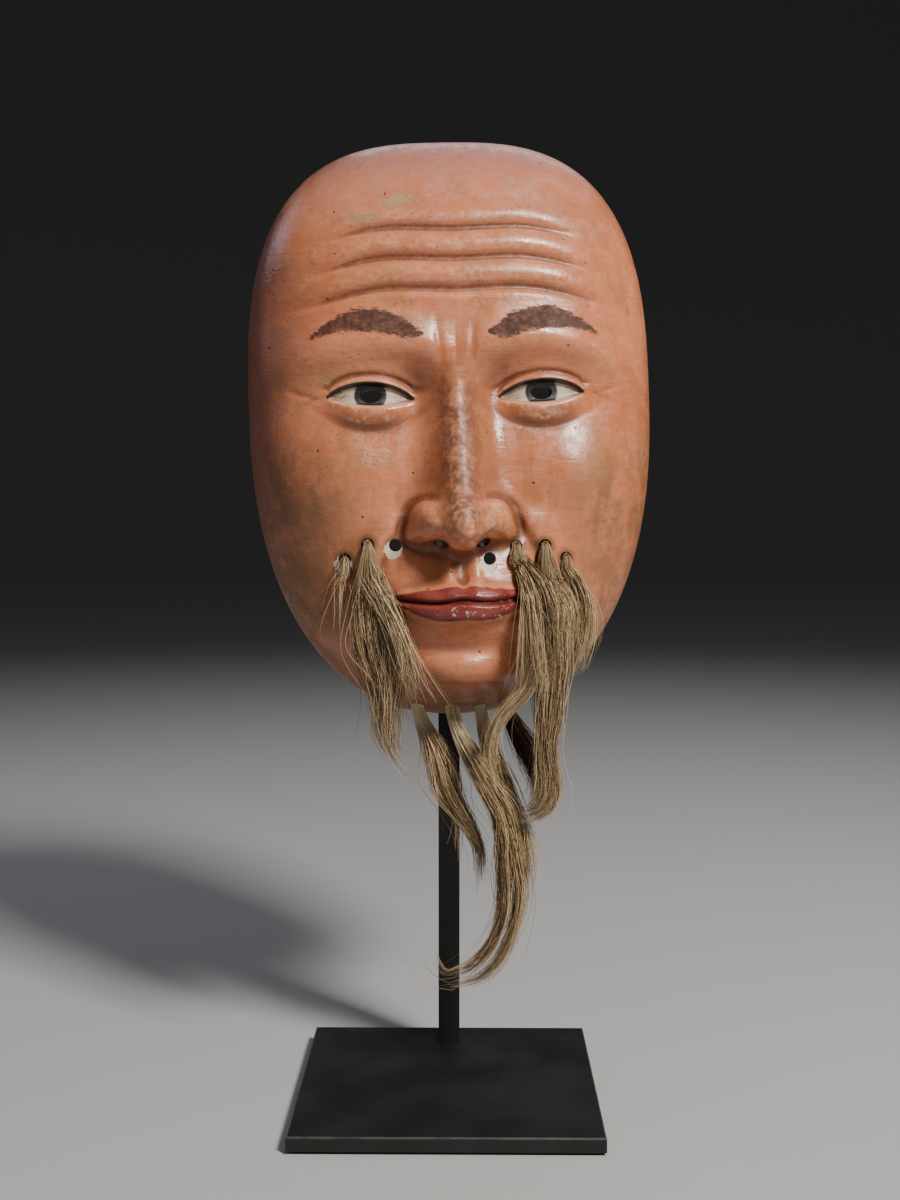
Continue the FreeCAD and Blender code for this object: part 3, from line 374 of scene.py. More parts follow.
def shell_mesh():
    """Face, hollow and the slightly rounded rim between them, as one closed mesh."""
    front = laid_over(outer, spread(FACE_GRID[0]), spread(FACE_GRID[1]), face)
    back = laid_over(inner, *(np.linspace(-1, 1, count) for count in HOLLOW_GRID), gouged)
    outside, inside = border(*FACE_GRID), border(*HOLLOW_GRID)
    points = [front]
    faces = [grid_faces(*FACE_GRID)]
    # rings over the rim, each a little further in, joined to the hollow's edge by angle
    ring, hollow_ring = front[outside], back[inside]
    ways, hollow_ways = angles(ring), angles(hollow_ring)
    order = np.argsort(hollow_ways)
    once = hollow_ways[order]
    thrice = np.concatenate([once - 2 * np.pi, once, once + 2 * np.pi])
    inner_x, inner_z = (np.interp(ways, thrice, np.tile(hollow_ring[order, k], 3)) for k in (0, 2))
    last, start = outside, len(front)
    for k in range(1, RIM_STEPS + 1):
        share = k / RIM_STEPS
        near_edge = min(share, 1 - share) * WALL
        y = -RIM_ROUND * max(0.0, 1 - near_edge / RIM_ROUND) ** 2 if share < 1 else -RIM_ROUND
        ring_x = ring[:, 0] + (inner_x - ring[:, 0]) * share
        ring_z = ring[:, 2] + (inner_z - ring[:, 2]) * share
        points.append(np.stack([ring_x, np.full(len(ring), y), ring_z], -1))
        now = start + np.arange(len(ring))
        faces.append(np.stack([last, now, np.roll(now, -1), np.roll(last, -1)], -1))
        last, start = now, start + len(ring)
    points.append(back)
    quads = np.concatenate(faces + [grid_faces(*HOLLOW_GRID, flip=True) + start])
    # one seam of triangles between the last ring and the hollow's edge, walked by angle
    seam = stitch(last, ways, inside + start, hollow_ways)
    sizes = [4] * len(quads) + [3] * len(seam)
    return np.concatenate(points), np.concatenate([quads.ravel(), seam.ravel()]), np.array(sizes)


def stitch(a_ring, a_ways, b_ring, b_ways):
    """Triangles between two closed rings that go round the same way."""
    a_order, b_order = np.argsort(a_ways), np.argsort(b_ways)
    a, b = a_ring[a_order], b_ring[b_order]
    u, v = a_ways[a_order], b_ways[b_order]
    i = j = 0
    made = []
    while i < len(a) or j < len(b):
        next_u = u[i + 1] if i + 1 < len(a) else (u[0] + 2 * np.pi if i < len(a) else np.inf)
        next_v = v[j + 1] if j + 1 < len(b) else (v[0] + 2 * np.pi if j < len(b) else np.inf)
        here_a, here_b = a[i % len(a)], b[j % len(b)]
        if i < len(a) and (next_u <= next_v or j >= len(b)):
            made.append((here_a, here_b, a[(i + 1) % len(a)]))
            i += 1
        else:
            made.append((here_a, here_b, b[(j + 1) % len(b)]))
            j += 1
    return np.array(made)


def tube(centre, way, radii, length, sides=28):
    """Points and faces of a straight closed tube, round or oval."""
    way = np.asarray(way, float) / np.linalg.norm(way)
    side = np.cross(way, (0, 0, 1.0) if abs(way[2]) < 0.9 else (1.0, 0, 0))
    side /= np.linalg.norm(side)
    other = np.cross(side, way)
    turn = np.arange(sides)[:, None] / sides * 2 * np.pi
    ring = radii[0] * np.cos(turn) * side + radii[1] * np.sin(turn) * other
    rows = [np.asarray(centre) + ring, np.asarray(centre) + way * length + ring]
    k = np.arange(sides)
    walls = np.stack([k, np.roll(k, -1), np.roll(k, -1) + sides, k + sides], -1)
    return np.concatenate(rows), walls, (k[::-1], k + sides)


def cutters():
    """Every hole of the mask as one object to cut with."""
    tubes = []
    for side in (-1, 1):
        start = (side * EYE_X, -CUT_AHEAD, EYE_Z + PUPIL_UP)
        tubes.append(tube(start, (0, 1, 0), (PUPIL[0] / 2, PUPIL[1] / 2), EYE_CUT, sides=40))
        start = (side * NOSTRIL_OUT, -(DEEP + NOSTRIL_FRONT), NOSE_Z - NOSTRIL_DROP)
        radius = NOSTRIL_DIA / 2
        tubes.append(tube(start, (0, 1, NOSTRIL_SLOPE), (radius, radius), NOSTRIL_CUT))
        start = (side * (HALF_WIDTH + 2 * WALL), -CORD_HOLE_IN, LEVEL)
        radius = CORD_HOLE_DIA / 2
        tubes.append(tube(start, (-side, 0, 0), (radius, radius), 4 * WALL))
    radius = HAIR_HOLE_DIA / 2
    for x, z in list(LIP_HOLES.values()) + EMPTY_HOLES:
        tubes.append(tube((x, -CUT_AHEAD, z), (0, 1, 0), (radius, radius), LIP_CUT))
    for x, depth in CHIN_HOLES.values():
        tubes.append(tube((x, -depth, -CUT_BELOW), (0, 0, 1), (radius, radius), CHIN_CUT))
    points, flat, sizes, start = [], [], [], 0
    for spots, walls, caps in tubes:
        points.append(spots)
        flat.append((walls + start).ravel())
        sizes += [4] * len(walls)
        for cap in caps:
            flat.append(cap + start)
            sizes.append(len(cap))
        start += len(spots)
    made = mesh_object("cutters", to_row(np.concatenate(points)), np.concatenate(flat), np.array(sizes))
    return make_solid(made)


def make_solid(made):
    """Turns every face outwards."""
    bpy.context.view_layer.objects.active = made
    bpy.ops.object.select_all(action="DESELECT")
    made.select_set(True)
    bpy.ops.object.mode_set(mode="EDIT")
    bpy.ops.mesh.select_all(action="SELECT")
    bpy.ops.mesh.normals_make_consistent(inside=False)
    bpy.ops.object.mode_set(mode="OBJECT")
    return made


def apply_modifiers(made):
    depsgraph = bpy.context.evaluated_depsgraph_get()
    finished = bpy.data.meshes.new_from_object(made.evaluated_get(depsgraph))
    made.modifiers.clear()
    made.data = finished


def attribute(made, name, values):
    made.data.attributes.new(name, "FLOAT", "POINT").data.foreach_set("value", np.asarray(values, np.float32))


def positions(made):
    spots = np.empty(3 * len(made.data.vertices), np.float32)
    made.data.vertices.foreach_get("co", spots)
    return spots.reshape(-1, 3)


def smooth(made):
    made.data.polygons.foreach_set("use_smooth", np.ones(len(made.data.polygons), bool))


def blurred(field, reach):
    """A box blur, three times over, near enough to a round one."""
    for _ in range(3):
        for axis, shape in ((0, (-1, 1)), (1, (1, -1))):
            spots = np.arange(field.shape[axis])
            edge = [(reach + 1, reach) if k == axis else (0, 0) for k in (0, 1)]
            padded = np.pad(np.cumsum(field, axis), edge, mode="edge")
            high = np.take(padded, spots + 2 * reach + 1, axis)
            low = np.where((spots <= reach).reshape(shape), 0, np.take(padded, spots, axis))
            count = np.minimum(spots + reach, len(spots) - 1) - np.maximum(spots - reach, 0) + 1
            field = (high - low) / count.reshape(shape)
    return field


def cavities(x, z):
    """How deep each spot lies below its surroundings, fine and broad, in millimetres."""
    pitch = 0.5
    xs = np.arange(-HALF_WIDTH, HALF_WIDTH + pitch, pitch)
    zs = np.arange(0, HEIGHT + pitch, pitch)
    grid_x, grid_z = np.meshgrid(xs, zs)
    high = face(grid_x, np.clip(grid_z, 0.01, HEIGHT - 0.01))
    found = []
    for reach in (3, 9):
        sunk = blurred(high, reach) - high
        u = np.clip((x + HALF_WIDTH) / pitch, 0, len(xs) - 1.001)
        v = np.clip(z / pitch, 0, len(zs) - 1.001)
        i, j = u.astype(int), v.astype(int)
        s, t = u - i, v - j
        top = sunk[j, i] * (1 - s) + sunk[j, i + 1] * s
        low = sunk[j + 1, i] * (1 - s) + sunk[j + 1, i + 1] * s
        found.append(top * (1 - t) + low * t)
    return found


def from_nearest(x, z, holes, aside=0.0, lower=0.0):
    """How far each spot lies from the nearest hole, or from a place a little aside of it and lower."""
    return np.minimum.reduce([np.hypot(x - a + aside, z - b + lower) for a, b in holes])


def paint_marks(made):
    """Smooth fields over the mask that its material turns into paint, patina, chips and bare wood."""
    spots = to_mask(positions(made))
    x, y, z = spots.T
    s = np.abs(x)
    depth = -y
    front = face(x, np.clip(z, 0.05, HEIGHT - 0.05))
    fine, broad = cavities(x, z)
    # the sides fall away too steeply for a blur to tell a furrow from the slope
    calm = np.clip((0.90 - outer.gauge(x, z)) / 0.15, 0, 1)
    upper, lower, t = lids(s)
    seam, high, low, _ = lip_lines(x)
    in_lips = np.minimum(seam + high - z, z - seam + low)
    # brows: arched strokes, thick in the middle, above the ridge
    along = (s - 13.0) / 36.0
    middle = BROW_Z + 6.5 + 7.0 * np.sin(np.clip(along, 0, 1) * 2.3) - 5.0 * np.clip(along, 0, 1.3) ** 2
    ends = np.clip((along + 0.06) / 0.22, 0, 1) * np.clip((1.04 - along) / 0.5, 0, 1)
    thick = 4.4 * ends**0.6
    flakes = [np.hypot((x - across) / wide, (z - up) / high) for across, up, wide, high in FLAKES]
    fields = {
        "across": x,
        "up": z,
        "forward": depth,
        # 1 on the carved front, 0 on the hollow, the rim and inside the holes
        "front": np.clip(1 - (front - depth) / 0.6, 0, 1) * (depth > 0.15),
        "cavity": fine * calm,
        "dip": broad * calm,
        "under_lid": upper - z,
        "over_lid": z - lower,
        "along_eye": t,
        "from_pupil": np.hypot((s - EYE_X) / 1.05, z - EYE_Z - PUPIL_UP),
        "in_lips": np.where(s < MOUTH_HALF, in_lips, -1.0 - (s - MOUTH_HALF)),
        "from_seam": z - seam,
        "in_brow": np.where(thick > 0, thick - np.abs(z - middle), -9),
        "from_hole": from_nearest(x, z, list(LIP_HOLES.values()) + EMPTY_HOLES),
        "from_chip": from_nearest(x, z, EMPTY_HOLES + [LIP_HOLES["left_stray"]], 0.8, 1.6),
        "from_flake": np.minimum.reduce(flakes),
        "from_cord_hole": np.hypot(depth - CORD_HOLE_IN, z - LEVEL),
    }
    for name, values in fields.items():
        attribute(made, name, values)


# the shader's sockets by plainer names
SOCKETS = {
    "colour": "Base Color",
    "rough": "Roughness",
    "metal": "Metallic",
    "shine": "Specular IOR Level",
    "sheen": "Sheen Weight",
    "relief": "Normal",
}


class Nodes:
    """Short names for building a material out of nodes."""

    def __init__(self, name):
        self.material = bpy.data.materials.new(name)
        self.material.use_nodes = True
        self.tree = self.material.node_tree
        self.shader = self.tree.nodes["Principled BSDF"]

    def new(self, kind, **settings):
        made = self.tree.nodes.new("ShaderNode" + kind)
        for key, value in settings.items():
            setattr(made, key, value)
        return made

    def feed(self, socket, value):
        if isinstance(value, bpy.types.NodeSocket):
            self.tree.links.new(value, socket)
        elif isinstance(value, tuple) and len(value) == 3 and socket.type == "RGBA":
            socket.default_value = (*value, 1.0)
        else:
            socket.default_value = value

    def field(self, name):
        return self.new("Attribute", attribute_name=name).outputs["Fac"]

    def place(self):
        """Coordinates of the object, in metres."""
        return self.new("TexCoord").outputs["Object"]

    def noise(self, scale, detail=3.0, rough=0.55, stretch=None):
        """Noise of about scale millimetres, squeezed along an axis if stretch says."""
        coords = self.place()
        if stretch is not None:
            mapping = self.new("Mapping")
            self.feed(mapping.inputs["Vector"], coords)
            mapping.inputs["Scale"].default_value = stretch
            coords = mapping.outputs["Vector"]
        made = self.new("TexNoise")
        self.feed(made.inputs["Vector"], coords)
        made.inputs["Scale"].default_value = 1000.0 / scale
        made.inputs["Detail"].default_value = detail
        made.inputs["Roughness"].default_value = rough
        return made.outputs["Fac"]

    def cells(self, scale):
        """How far each spot is from the nearest of points strewn about scale millimetres apart."""
        made = self.new("TexVoronoi")
        self.feed(made.inputs["Vector"], self.place())
        made.inputs["Scale"].default_value = 1000.0 / scale
        return made.outputs["Distance"]

    def ramp(self, value, low, high, start=0.0, end=1.0):
        """Runs smoothly from start at low to end at high."""
        made = self.new("MapRange", interpolation_type="SMOOTHSTEP")
        self.feed(made.inputs["Value"], value)
        made.inputs["From Min"].default_value = low
        made.inputs["From Max"].default_value = high
        made.inputs["To Min"].default_value = start
        made.inputs["To Max"].default_value = end
        return made.outputs["Result"]

    def math(self, operation, a, b=0.0, c=0.0):
        made = self.new("Math", operation=operation)
        for socket, value in zip(made.inputs, (a, b, c)):
            self.feed(socket, value)
        return made.outputs[0]

    def all_of(self, operation, values):
        total = values[0]
        for value in values[1:]:
            total = self.math(operation, total, value)
        return total

    def times(self, *values):
        return self.all_of("MULTIPLY", values)

    def plus(self, *values):
        return self.all_of("ADD", values)

    def most(self, *values):
        return self.all_of("MAXIMUM", values)

    def size(self, value):
        return self.math("ABSOLUTE", value)

    def mix(self, share, a, b):
        """Runs from colour a to colour b."""
        made = self.new("Mix", data_type="RGBA", blend_type="MIX")
        for k, value in ((0, share), (6, a), (7, b)):
            self.feed(made.inputs[k], value)
        return made.outputs[2]

    def between(self, share, a, b):
        """Runs from number a to number b."""
        made = self.new("Mix", data_type="FLOAT")
        for k, value in ((0, share), (2, a), (3, b)):
            self.feed(made.inputs[k], value)
        return made.outputs[0]

    def bump(self, height, distance):
        """Height from 0 to 1 stands for distance in millimetres."""
        made = self.new("Bump")
        made.inputs["Strength"].default_value = 1.0
        made.inputs["Distance"].default_value = distance * MM
        self.feed(made.inputs["Height"], height)
        return made.outputs["Normal"]

    def finish(self, **values):
        """Sets or links the shader's sockets and gives back the material."""
        for name, value in values.items():
            self.feed(self.shader.inputs[SOCKETS[name]], value)
        return self.material


def lacquer():
    """Flesh-coloured lacquer over white ground and wood: patina, paint, streaks, pits, flakes and chips."""
    n = Nodes("lacquered_wood")
    across, up, forward = n.field("across"), n.field("up"), n.field("forward")
    cavity, dip = n.field("cavity"), n.field("dip")
    under_lid, over_lid, from_seam = n.field("under_lid"), n.field("over_lid"), n.field("from_seam")
    off_middle, along_eye = n.size(across), n.size(n.field("along_eye"))
    blotch = n.noise(9, 5, 0.6)
    grain = n.noise(2.2, 4, 0.6)
    streak = n.noise(7, 4, 0.6, stretch=(1, 1, 7))
    fibre = n.noise(2.0, 3, 0.6, stretch=(0.25, 1, 1))
    upright = n.noise(4.5, 5, 0.65, stretch=(1, 1, 0.16))
    uneven = n.noise(4.5, 5, 0.65)
    bristle = n.noise(1.3, 3, 0.7, stretch=(0.45, 1, 1.6))
    # painted shade: a cool, darker tint towards the crown and the left edge
    cool_painted_shade = n.most(n.ramp(up, 186.0, 207.0), n.ramp(across, -50.0, -70.0))
    grime = n.times(
        n.ramp(off_middle, 26.0, 54.0),
        n.ramp(up, 112.0, 78.0),
        n.ramp(n.noise(14, 7, 0.7), 0.36, 0.58),
    )
    side_darkening = n.ramp(n.noise(12, 6, 0.65), 0.3, 0.62, 0.15, 0.8)
    stain = n.ramp(n.noise(11, 7, 0.75), 0.60, 0.68)
    # brown patina settles in the furrows, round the nose and on its ridge
    settled = n.times(n.ramp(cavity, 0.08, 0.6), n.ramp(grain, 0.25, 0.6, 0.6, 1.0))
    ridge = n.times(
        n.ramp(off_middle, 12.0, 3.0),
        n.ramp(up, NOSE_Z + 1, NOSE_Z + 9),
        n.ramp(up, BROW_Z + 4, BROW_Z - 16),
        n.ramp(n.noise(6, 6, 0.7), 0.32, 0.56),
    )
    flaked = n.math("MULTIPLY_ADD", n.noise(5, 6, 0.7), -3.2, n.math("ADD", n.field("from_flake"), 1.6))
    flake = n.ramp(flaked, 1.0, 0.85)
    # pits and specks
    speck_place = n.most(n.ramp(n.noise(20, 3), 0.42, 0.6), n.ramp(up, 38.0, 16.0, 0.0, 0.8))
    speck = n.times(n.most(n.ramp(n.cells(2.1), 0.16, 0.06), n.ramp(n.cells(1.2), 0.13, 0.07)), speck_place)
    dot = n.times(n.ramp(n.cells(6.5), 0.105, 0.06), n.ramp(n.noise(8, 2), 0.50, 0.54))
    # painted brows, with strokes at their edges
    brow = n.ramp(n.plus(n.field("in_brow"), n.math("MULTIPLY_ADD", bristle, 5.0, -2.5)), -0.5, 1.0)
    # red lips, worn pale in places
    lip = n.ramp(n.plus(n.field("in_lips"), n.math("MULTIPLY_ADD", grain, 1.4, -0.7)), -0.1, 0.5)
    red = n.mix(n.ramp(blotch, 0.35, 0.65), (0.17, 0.020, 0.014), (0.26, 0.048, 0.034))
    chipped = n.times(lip, n.ramp(n.noise(2.6, 5, 0.7), 0.585, 0.61), n.ramp(from_seam, -1.0, -3.0))
    # eyes: pale ball with fine strokes at the corners and a dark ring round the pupil
    opened = n.times(n.ramp(under_lid, 0.0, 0.35), n.ramp(over_lid, 0.0, 0.35), n.ramp(along_eye, 1.0, 0.96))
    ball = n.mix(n.ramp(along_eye, 0.45, 0.9), (0.52, 0.41, 0.31), (0.30, 0.19, 0.13))
    stroke = n.times(n.ramp(bristle, 0.5, 0.62), n.ramp(along_eye, 0.4, 0.7))
    ball = n.mix(n.times(stroke, 0.7), ball, (0.06, 0.03, 0.02))
    ball = n.mix(n.ramp(n.field("from_pupil"), 5.6, 5.0), ball, (0.014, 0.012, 0.012))
    upper_line = n.ramp(n.size(n.plus(under_lid, 0.25)), 0.95, 0.45)
    lower_line = n.ramp(n.size(n.plus(over_lid, 0.5)), 0.6, 0.25)
    # the edges of chips run unevenly
    rough_edge = n.math("MULTIPLY_ADD", n.noise(1.8, 4, 0.65), 3.4, -1.7)
    chip = n.ramp(n.plus(n.field("from_chip"), rough_edge), 3.3, 2.9)
    cord = n.ramp(n.plus(n.field("from_cord_hole"), rough_edge), 3.9, 3.3)
    rim_edge = n.ramp(n.plus(forward, rough_edge), 1.6, 0.6)
    # coats from the ground up, each a colour and the shares that say where and how strongly it lies
    coats = [
        ((0.67, 0.255, 0.142), n.ramp(blotch, 0.35, 0.7, 0.0, 0.6)),
        ((0.37, 0.155, 0.064), n.ramp(n.noise(17, 6, 0.68), 0.46, 0.64, 0.0, 0.62)),
        ((0.32, 0.135, 0.058), n.ramp(upright, 0.48, 0.68, 0.0, 0.5), n.ramp(up, 128.0, 96.0)),
        ((0.42, 0.135, 0.058), n.ramp(streak, 0.45, 0.75, 0.0, 0.45)),
        ((0.33, 0.11, 0.05), n.ramp(fibre, 0.5, 0.8, 0.0, 0.30)),
        # painted shade with a cool bluish-purple tint, towards the crown and the left edge
        ((0.36, 0.155, 0.135), n.ramp(up, 160.0, 206.0), n.ramp(blotch, 0.3, 0.7, 0.2, 0.6)),
        ((0.24, 0.115, 0.120), cool_painted_shade, n.ramp(uneven, 0.35, 0.6, 0.25, 0.75)),
        # olive grime mottles the cheeks; darker brown towards the chin's lower edge, partly brown patina and
        # partly painted shade; and darker brown towards the sides
        ((0.185, 0.100, 0.038), grime, 0.68),
        ((0.15, 0.060, 0.022), n.ramp(up, 26.0, 5.0), n.ramp(n.noise(8, 7, 0.7), 0.25, 0.55, 0.3, 1.0), 0.8),
        ((0.24, 0.098, 0.045), n.ramp(forward, 30.0, 4.0), side_darkening),
        ((0.12, 0.040, 0.018), settled, 0.85),
        ((0.19, 0.064, 0.030), n.ramp(dip, 0.4, 2.4), n.ramp(blotch, 0.25, 0.6, 0.4, 1.0), 0.6),
        ((0.105, 0.038, 0.018), ridge, 0.8),
        # brown shading under each eye
        (
            (0.14, 0.048, 0.022),
            n.ramp(over_lid, -12.0, -7.0),
            n.ramp(over_lid, -1.0, -4.5),
            n.ramp(along_eye, 1.1, 0.5),
            n.ramp(blotch, 0.2, 0.6, 0.5, 1.0),
            0.7,
        ),
        # worn high spots, flaked patches of the ground, stains
        ((0.76, 0.42, 0.27), n.ramp(cavity, -0.10, -0.45), n.ramp(grain, 0.4, 0.65), 0.45),
        ((0.33, 0.225, 0.095), flake, 0.75),
        ((0.17, 0.066, 0.030), stain, n.ramp(grain, 0.3, 0.6, 0.3, 1.0), 0.55),
        ((0.06, 0.024, 0.012), speck, 0.8),
        ((0.075, 0.024, 0.012), dot, 0.8),
        ((0.050, 0.015, 0.007), brow, n.ramp(grain, 0.2, 0.6, 0.72, 1.0)),
        # the lips, and the dark line between them, painted shade in the crease
        (red, lip),
        ((0.62, 0.42, 0.34), chipped),
        ((0.045, 0.008, 0.008), n.ramp(n.size(from_seam), 1.0, 0.3), lip, 0.85),
        # the eyes, the black line on the upper lid and the pale one on the lower
        (ball, opened),
        ((0.014, 0.010, 0.010), upper_line, n.ramp(along_eye, 1.08, 1.0)),
        ((0.62, 0.40, 0.29), lower_line, n.ramp(along_eye, 1.0, 0.8), 0.6),
        # grime and pale chips round the holes, lacquer lost at the rim
        ((0.09, 0.04, 0.022), n.ramp(n.field("from_hole"), 4.4, 2.2), 0.6),
        ((0.66, 0.56, 0.44), chip),
        ((0.10, 0.055, 0.03), cord, 0.8),
        ((0.12, 0.06, 0.03), rim_edge, 0.75),
    ]
    skin = n.mix(n.ramp(n.noise(34, 4), 0.38, 0.62), (0.50, 0.155, 0.066), (0.63, 0.21, 0.102))
    for colour, *shares in coats:
        skin = n.mix(n.times(*shares), skin, colour)
    # bare wood behind
    rings = n.noise(2.4, 3, 0.6, stretch=(1, 1, 0.06))
    wood = n.mix(n.ramp(rings, 0.35, 0.65), (0.37, 0.225, 0.115), (0.235, 0.130, 0.060))
    wood = n.mix(n.ramp(n.noise(22, 5, 0.6), 0.45, 0.7, 0.0, 0.7), wood, (0.12, 0.064, 0.032))
    # the lacquer shines, less where it is grimy, chipped or flaked
    lost = n.most(chip, n.times(flake, 0.8), n.times(chipped, 0.8))
    dull = n.most(n.times(settled, 0.5), n.times(grime, 0.7), lost)
    gloss = n.plus(
        n.math("MULTIPLY_ADD", n.ramp(blotch, 0.3, 0.7), 0.10, 0.24),
        n.times(dull, 0.32),
        n.times(speck, 0.2),
        n.times(ridge, 0.22),
        n.times(brow, 0.45),
        n.ramp(up, 16.0, 5.0, 0.0, 0.35),
        n.ramp(uneven, 0.35, 0.65, -0.03, 0.09),
    )
    front = n.ramp(n.field("front"), 0.25, 0.75)
    # ground brushed on by hand, pits, and the steps of chips
    height = n.plus(
        n.times(streak, 0.5),
        n.times(fibre, 0.22),
        n.times(grain, 0.16),
        n.times(blotch, 0.8),
        n.times(uneven, 0.7),
        n.times(upright, 0.3),
        n.times(n.most(speck, dot), -0.7),
        n.times(n.most(chip, n.times(flake, 0.7), n.times(chipped, front)), -0.9),
    )
    wood_height = n.plus(n.times(rings, 0.8), n.times(grain, 0.3))
    return n.finish(
        colour=n.mix(front, wood, skin),
        rough=n.between(front, 0.72, gloss),
        shine=0.55,
        relief=n.bump(n.between(front, wood_height, height), 0.18),
    )


def black_steel():
    """Satin black coat over steel: fine orange peel, dust specks and edges worn lighter."""
    n = Nodes("black_steel")
    split = n.new("SeparateXYZ")
    n.feed(split.inputs[0], n.place())
    x, y, z = split.outputs
    cloud = n.noise(26, 4)
    dust = n.times(n.ramp(n.cells(2.2), 0.10, 0.04), n.ramp(n.noise(14, 3), 0.5, 0.62))
    reach = PLATE_HALF - 0.55 * MM
    by_side, by_front = (n.ramp(n.size(out), reach - 0.25 * MM, reach + 0.35 * MM) for out in (x, y))
    to_top = n.ramp(z, PLATE_TOP - 0.9 * MM, PLATE_TOP - 0.35 * MM)
    at_top = n.times(to_top, n.ramp(z, PLATE_TOP + 1 * MM, PLATE_TOP))
    worn = n.times(n.most(by_side, by_front), at_top, n.ramp(n.noise(6, 4, 0.6), 0.3, 0.6, 0.25, 1.0))
    colour = n.mix(n.ramp(cloud, 0.3, 0.7), (0.0075, 0.008, 0.0085), (0.012, 0.0125, 0.0135))
    colour = n.mix(n.times(dust, 0.35), colour, (0.11, 0.11, 0.11))
    return n.finish(
        colour=n.mix(n.times(worn, 0.75), colour, (0.075, 0.072, 0.062)),
        rough=n.plus(n.ramp(cloud, 0.3, 0.7, 0.34, 0.44), n.times(dust, 0.3), n.times(worn, -0.05)),
        shine=0.45,
        relief=n.bump(n.plus(n.times(n.noise(0.55, 2), 0.7), n.times(n.noise(3, 3), 0.5)), 0.02),
    )


def felt():
    n = Nodes("felt")
    fuzz = n.noise(0.35, 4, 0.7)
    return n.finish(
        colour=n.mix(n.ramp(fuzz, 0.3, 0.7), (0.010, 0.010, 0.011), (0.035, 0.034, 0.036)),
        rough=0.95,
        sheen=0.4,
        relief=n.bump(fuzz, 0.2),
    )


def screw_steel():
    n = Nodes("screw_steel")
    turned = n.noise(1.2, 3, 0.6, stretch=(1, 1, 6))
    return n.finish(
        colour=n.mix(n.ramp(turned, 0.3, 0.7), (0.09, 0.09, 0.095), (0.17, 0.17, 0.175)),
        metal=1.0,
        rough=n.ramp(turned, 0.3, 0.7, 0.32, 0.45),
        relief=n.bump(turned, 0.02),
    )


def peg_wood():
    n = Nodes("peg_wood")
    rings = n.noise(0.9, 3, 0.6, stretch=(1, 0.15, 1))
    return n.finish(
        colour=n.mix(n.ramp(rings, 0.3, 0.7), (0.30, 0.18, 0.085), (0.16, 0.085, 0.038)),
        rough=0.7,
        relief=n.bump(rings, 0.08),
    )


def hair_material(name, root, body, dark, tip):
    """Strands that share one material; each carries its own shade, and its run from root to tip."""
    n = Nodes(name)
    shade, run = n.field("shade"), n.field("run")
    along = n.noise(4, 3, 0.6)
    colour = n.mix(n.ramp(shade, 0.2, 0.45), dark, body)
    colour = n.mix(n.ramp(shade, 0.6, 0.85), colour, tip)
    # the root colour near the root; for the pale beard it carries painted light
    colour = n.mix(n.times(n.ramp(run, 0.24, 0.08), n.ramp(shade, 0.1, 0.4, 0.35, 1.0)), colour, root)
    return n.finish(
        colour=n.mix(n.ramp(along, 0.45, 0.75, 0.0, 0.35), colour, dark),
        rough=n.ramp(along, 0.3, 0.7, 0.42, 0.6),
        shine=0.5,
    )


# Each lock of hair: stations of x, z, width and thickness, and for the beard y, as in the part's source.
MOUSTACHE = {
    "left": [
        (-32.0, 53.0, 7.5, 3.8), (-31.2, 45.0, 11.0, 4.0), (-29.2, 35.0, 13.5, 4.0), (-28.2, 26.0, 13.0, 4.0),
        (-27.4, 17.0, 10.5, 4.0), (-27.4, 9.0, 8.0, 3.8), (-27.4, 0.0, 7.4, 3.4), (-26.4, -6.0, 5.0, 2.8),
        (-23.4, -12.0, 3.4, 2.2), (-18.6, -19.0, 1.2, 1.0),
    ],
    "left_stray": [
        (-41.0, 51.0, 3.4, 2.4), (-42.0, 41.5, 2.4, 2.0), (-43.4, 26.0, 1.0, 1.0),
    ],
    "right_inner": [
        (21.6, 53.0, 4.6, 3.2), (23.2, 43.0, 5.0, 3.4), (23.6, 30.0, 5.0, 3.4), (23.0, 20.0, 4.6, 3.2),
        (20.2, 12.0, 4.0, 3.0), (15.4, 6.6, 3.6, 2.8), (11.0, 1.0, 3.4, 2.6), (8.8, -7.0, 3.2, 2.6),
        (9.0, -17.0, 2.6, 2.2), (11.4, -26.0, 1.2, 1.0),
    ],
    "right_middle": [
        (29.8, 51.0, 7.4, 3.8), (31.0, 41.0, 8.6, 4.4), (31.2, 30.0, 8.8, 4.4), (30.4, 20.0, 8.2, 4.4),
        (29.6, 10.0, 7.4, 4.4), (29.0, 0.0, 6.4, 4.2), (28.0, -7.0, 5.4, 4.2), (27.8, -14.0, 6.0, 4.2),
        (28.2, -21.0, 7.0, 4.0), (27.2, -27.0, 7.0, 4.0), (24.0, -30.8, 5.6, 3.4), (18.4, -31.8, 2.2, 1.6),
    ],
    "right_outer": [
        (39.2, 49.6, 4.6, 3.0), (41.6, 42.0, 5.2, 3.2), (41.6, 34.0, 5.0, 3.0), (40.0, 26.0, 4.4, 2.8),
        (38.0, 19.0, 3.4, 2.4), (36.4, 12.0, 1.8, 1.4),
    ],
}
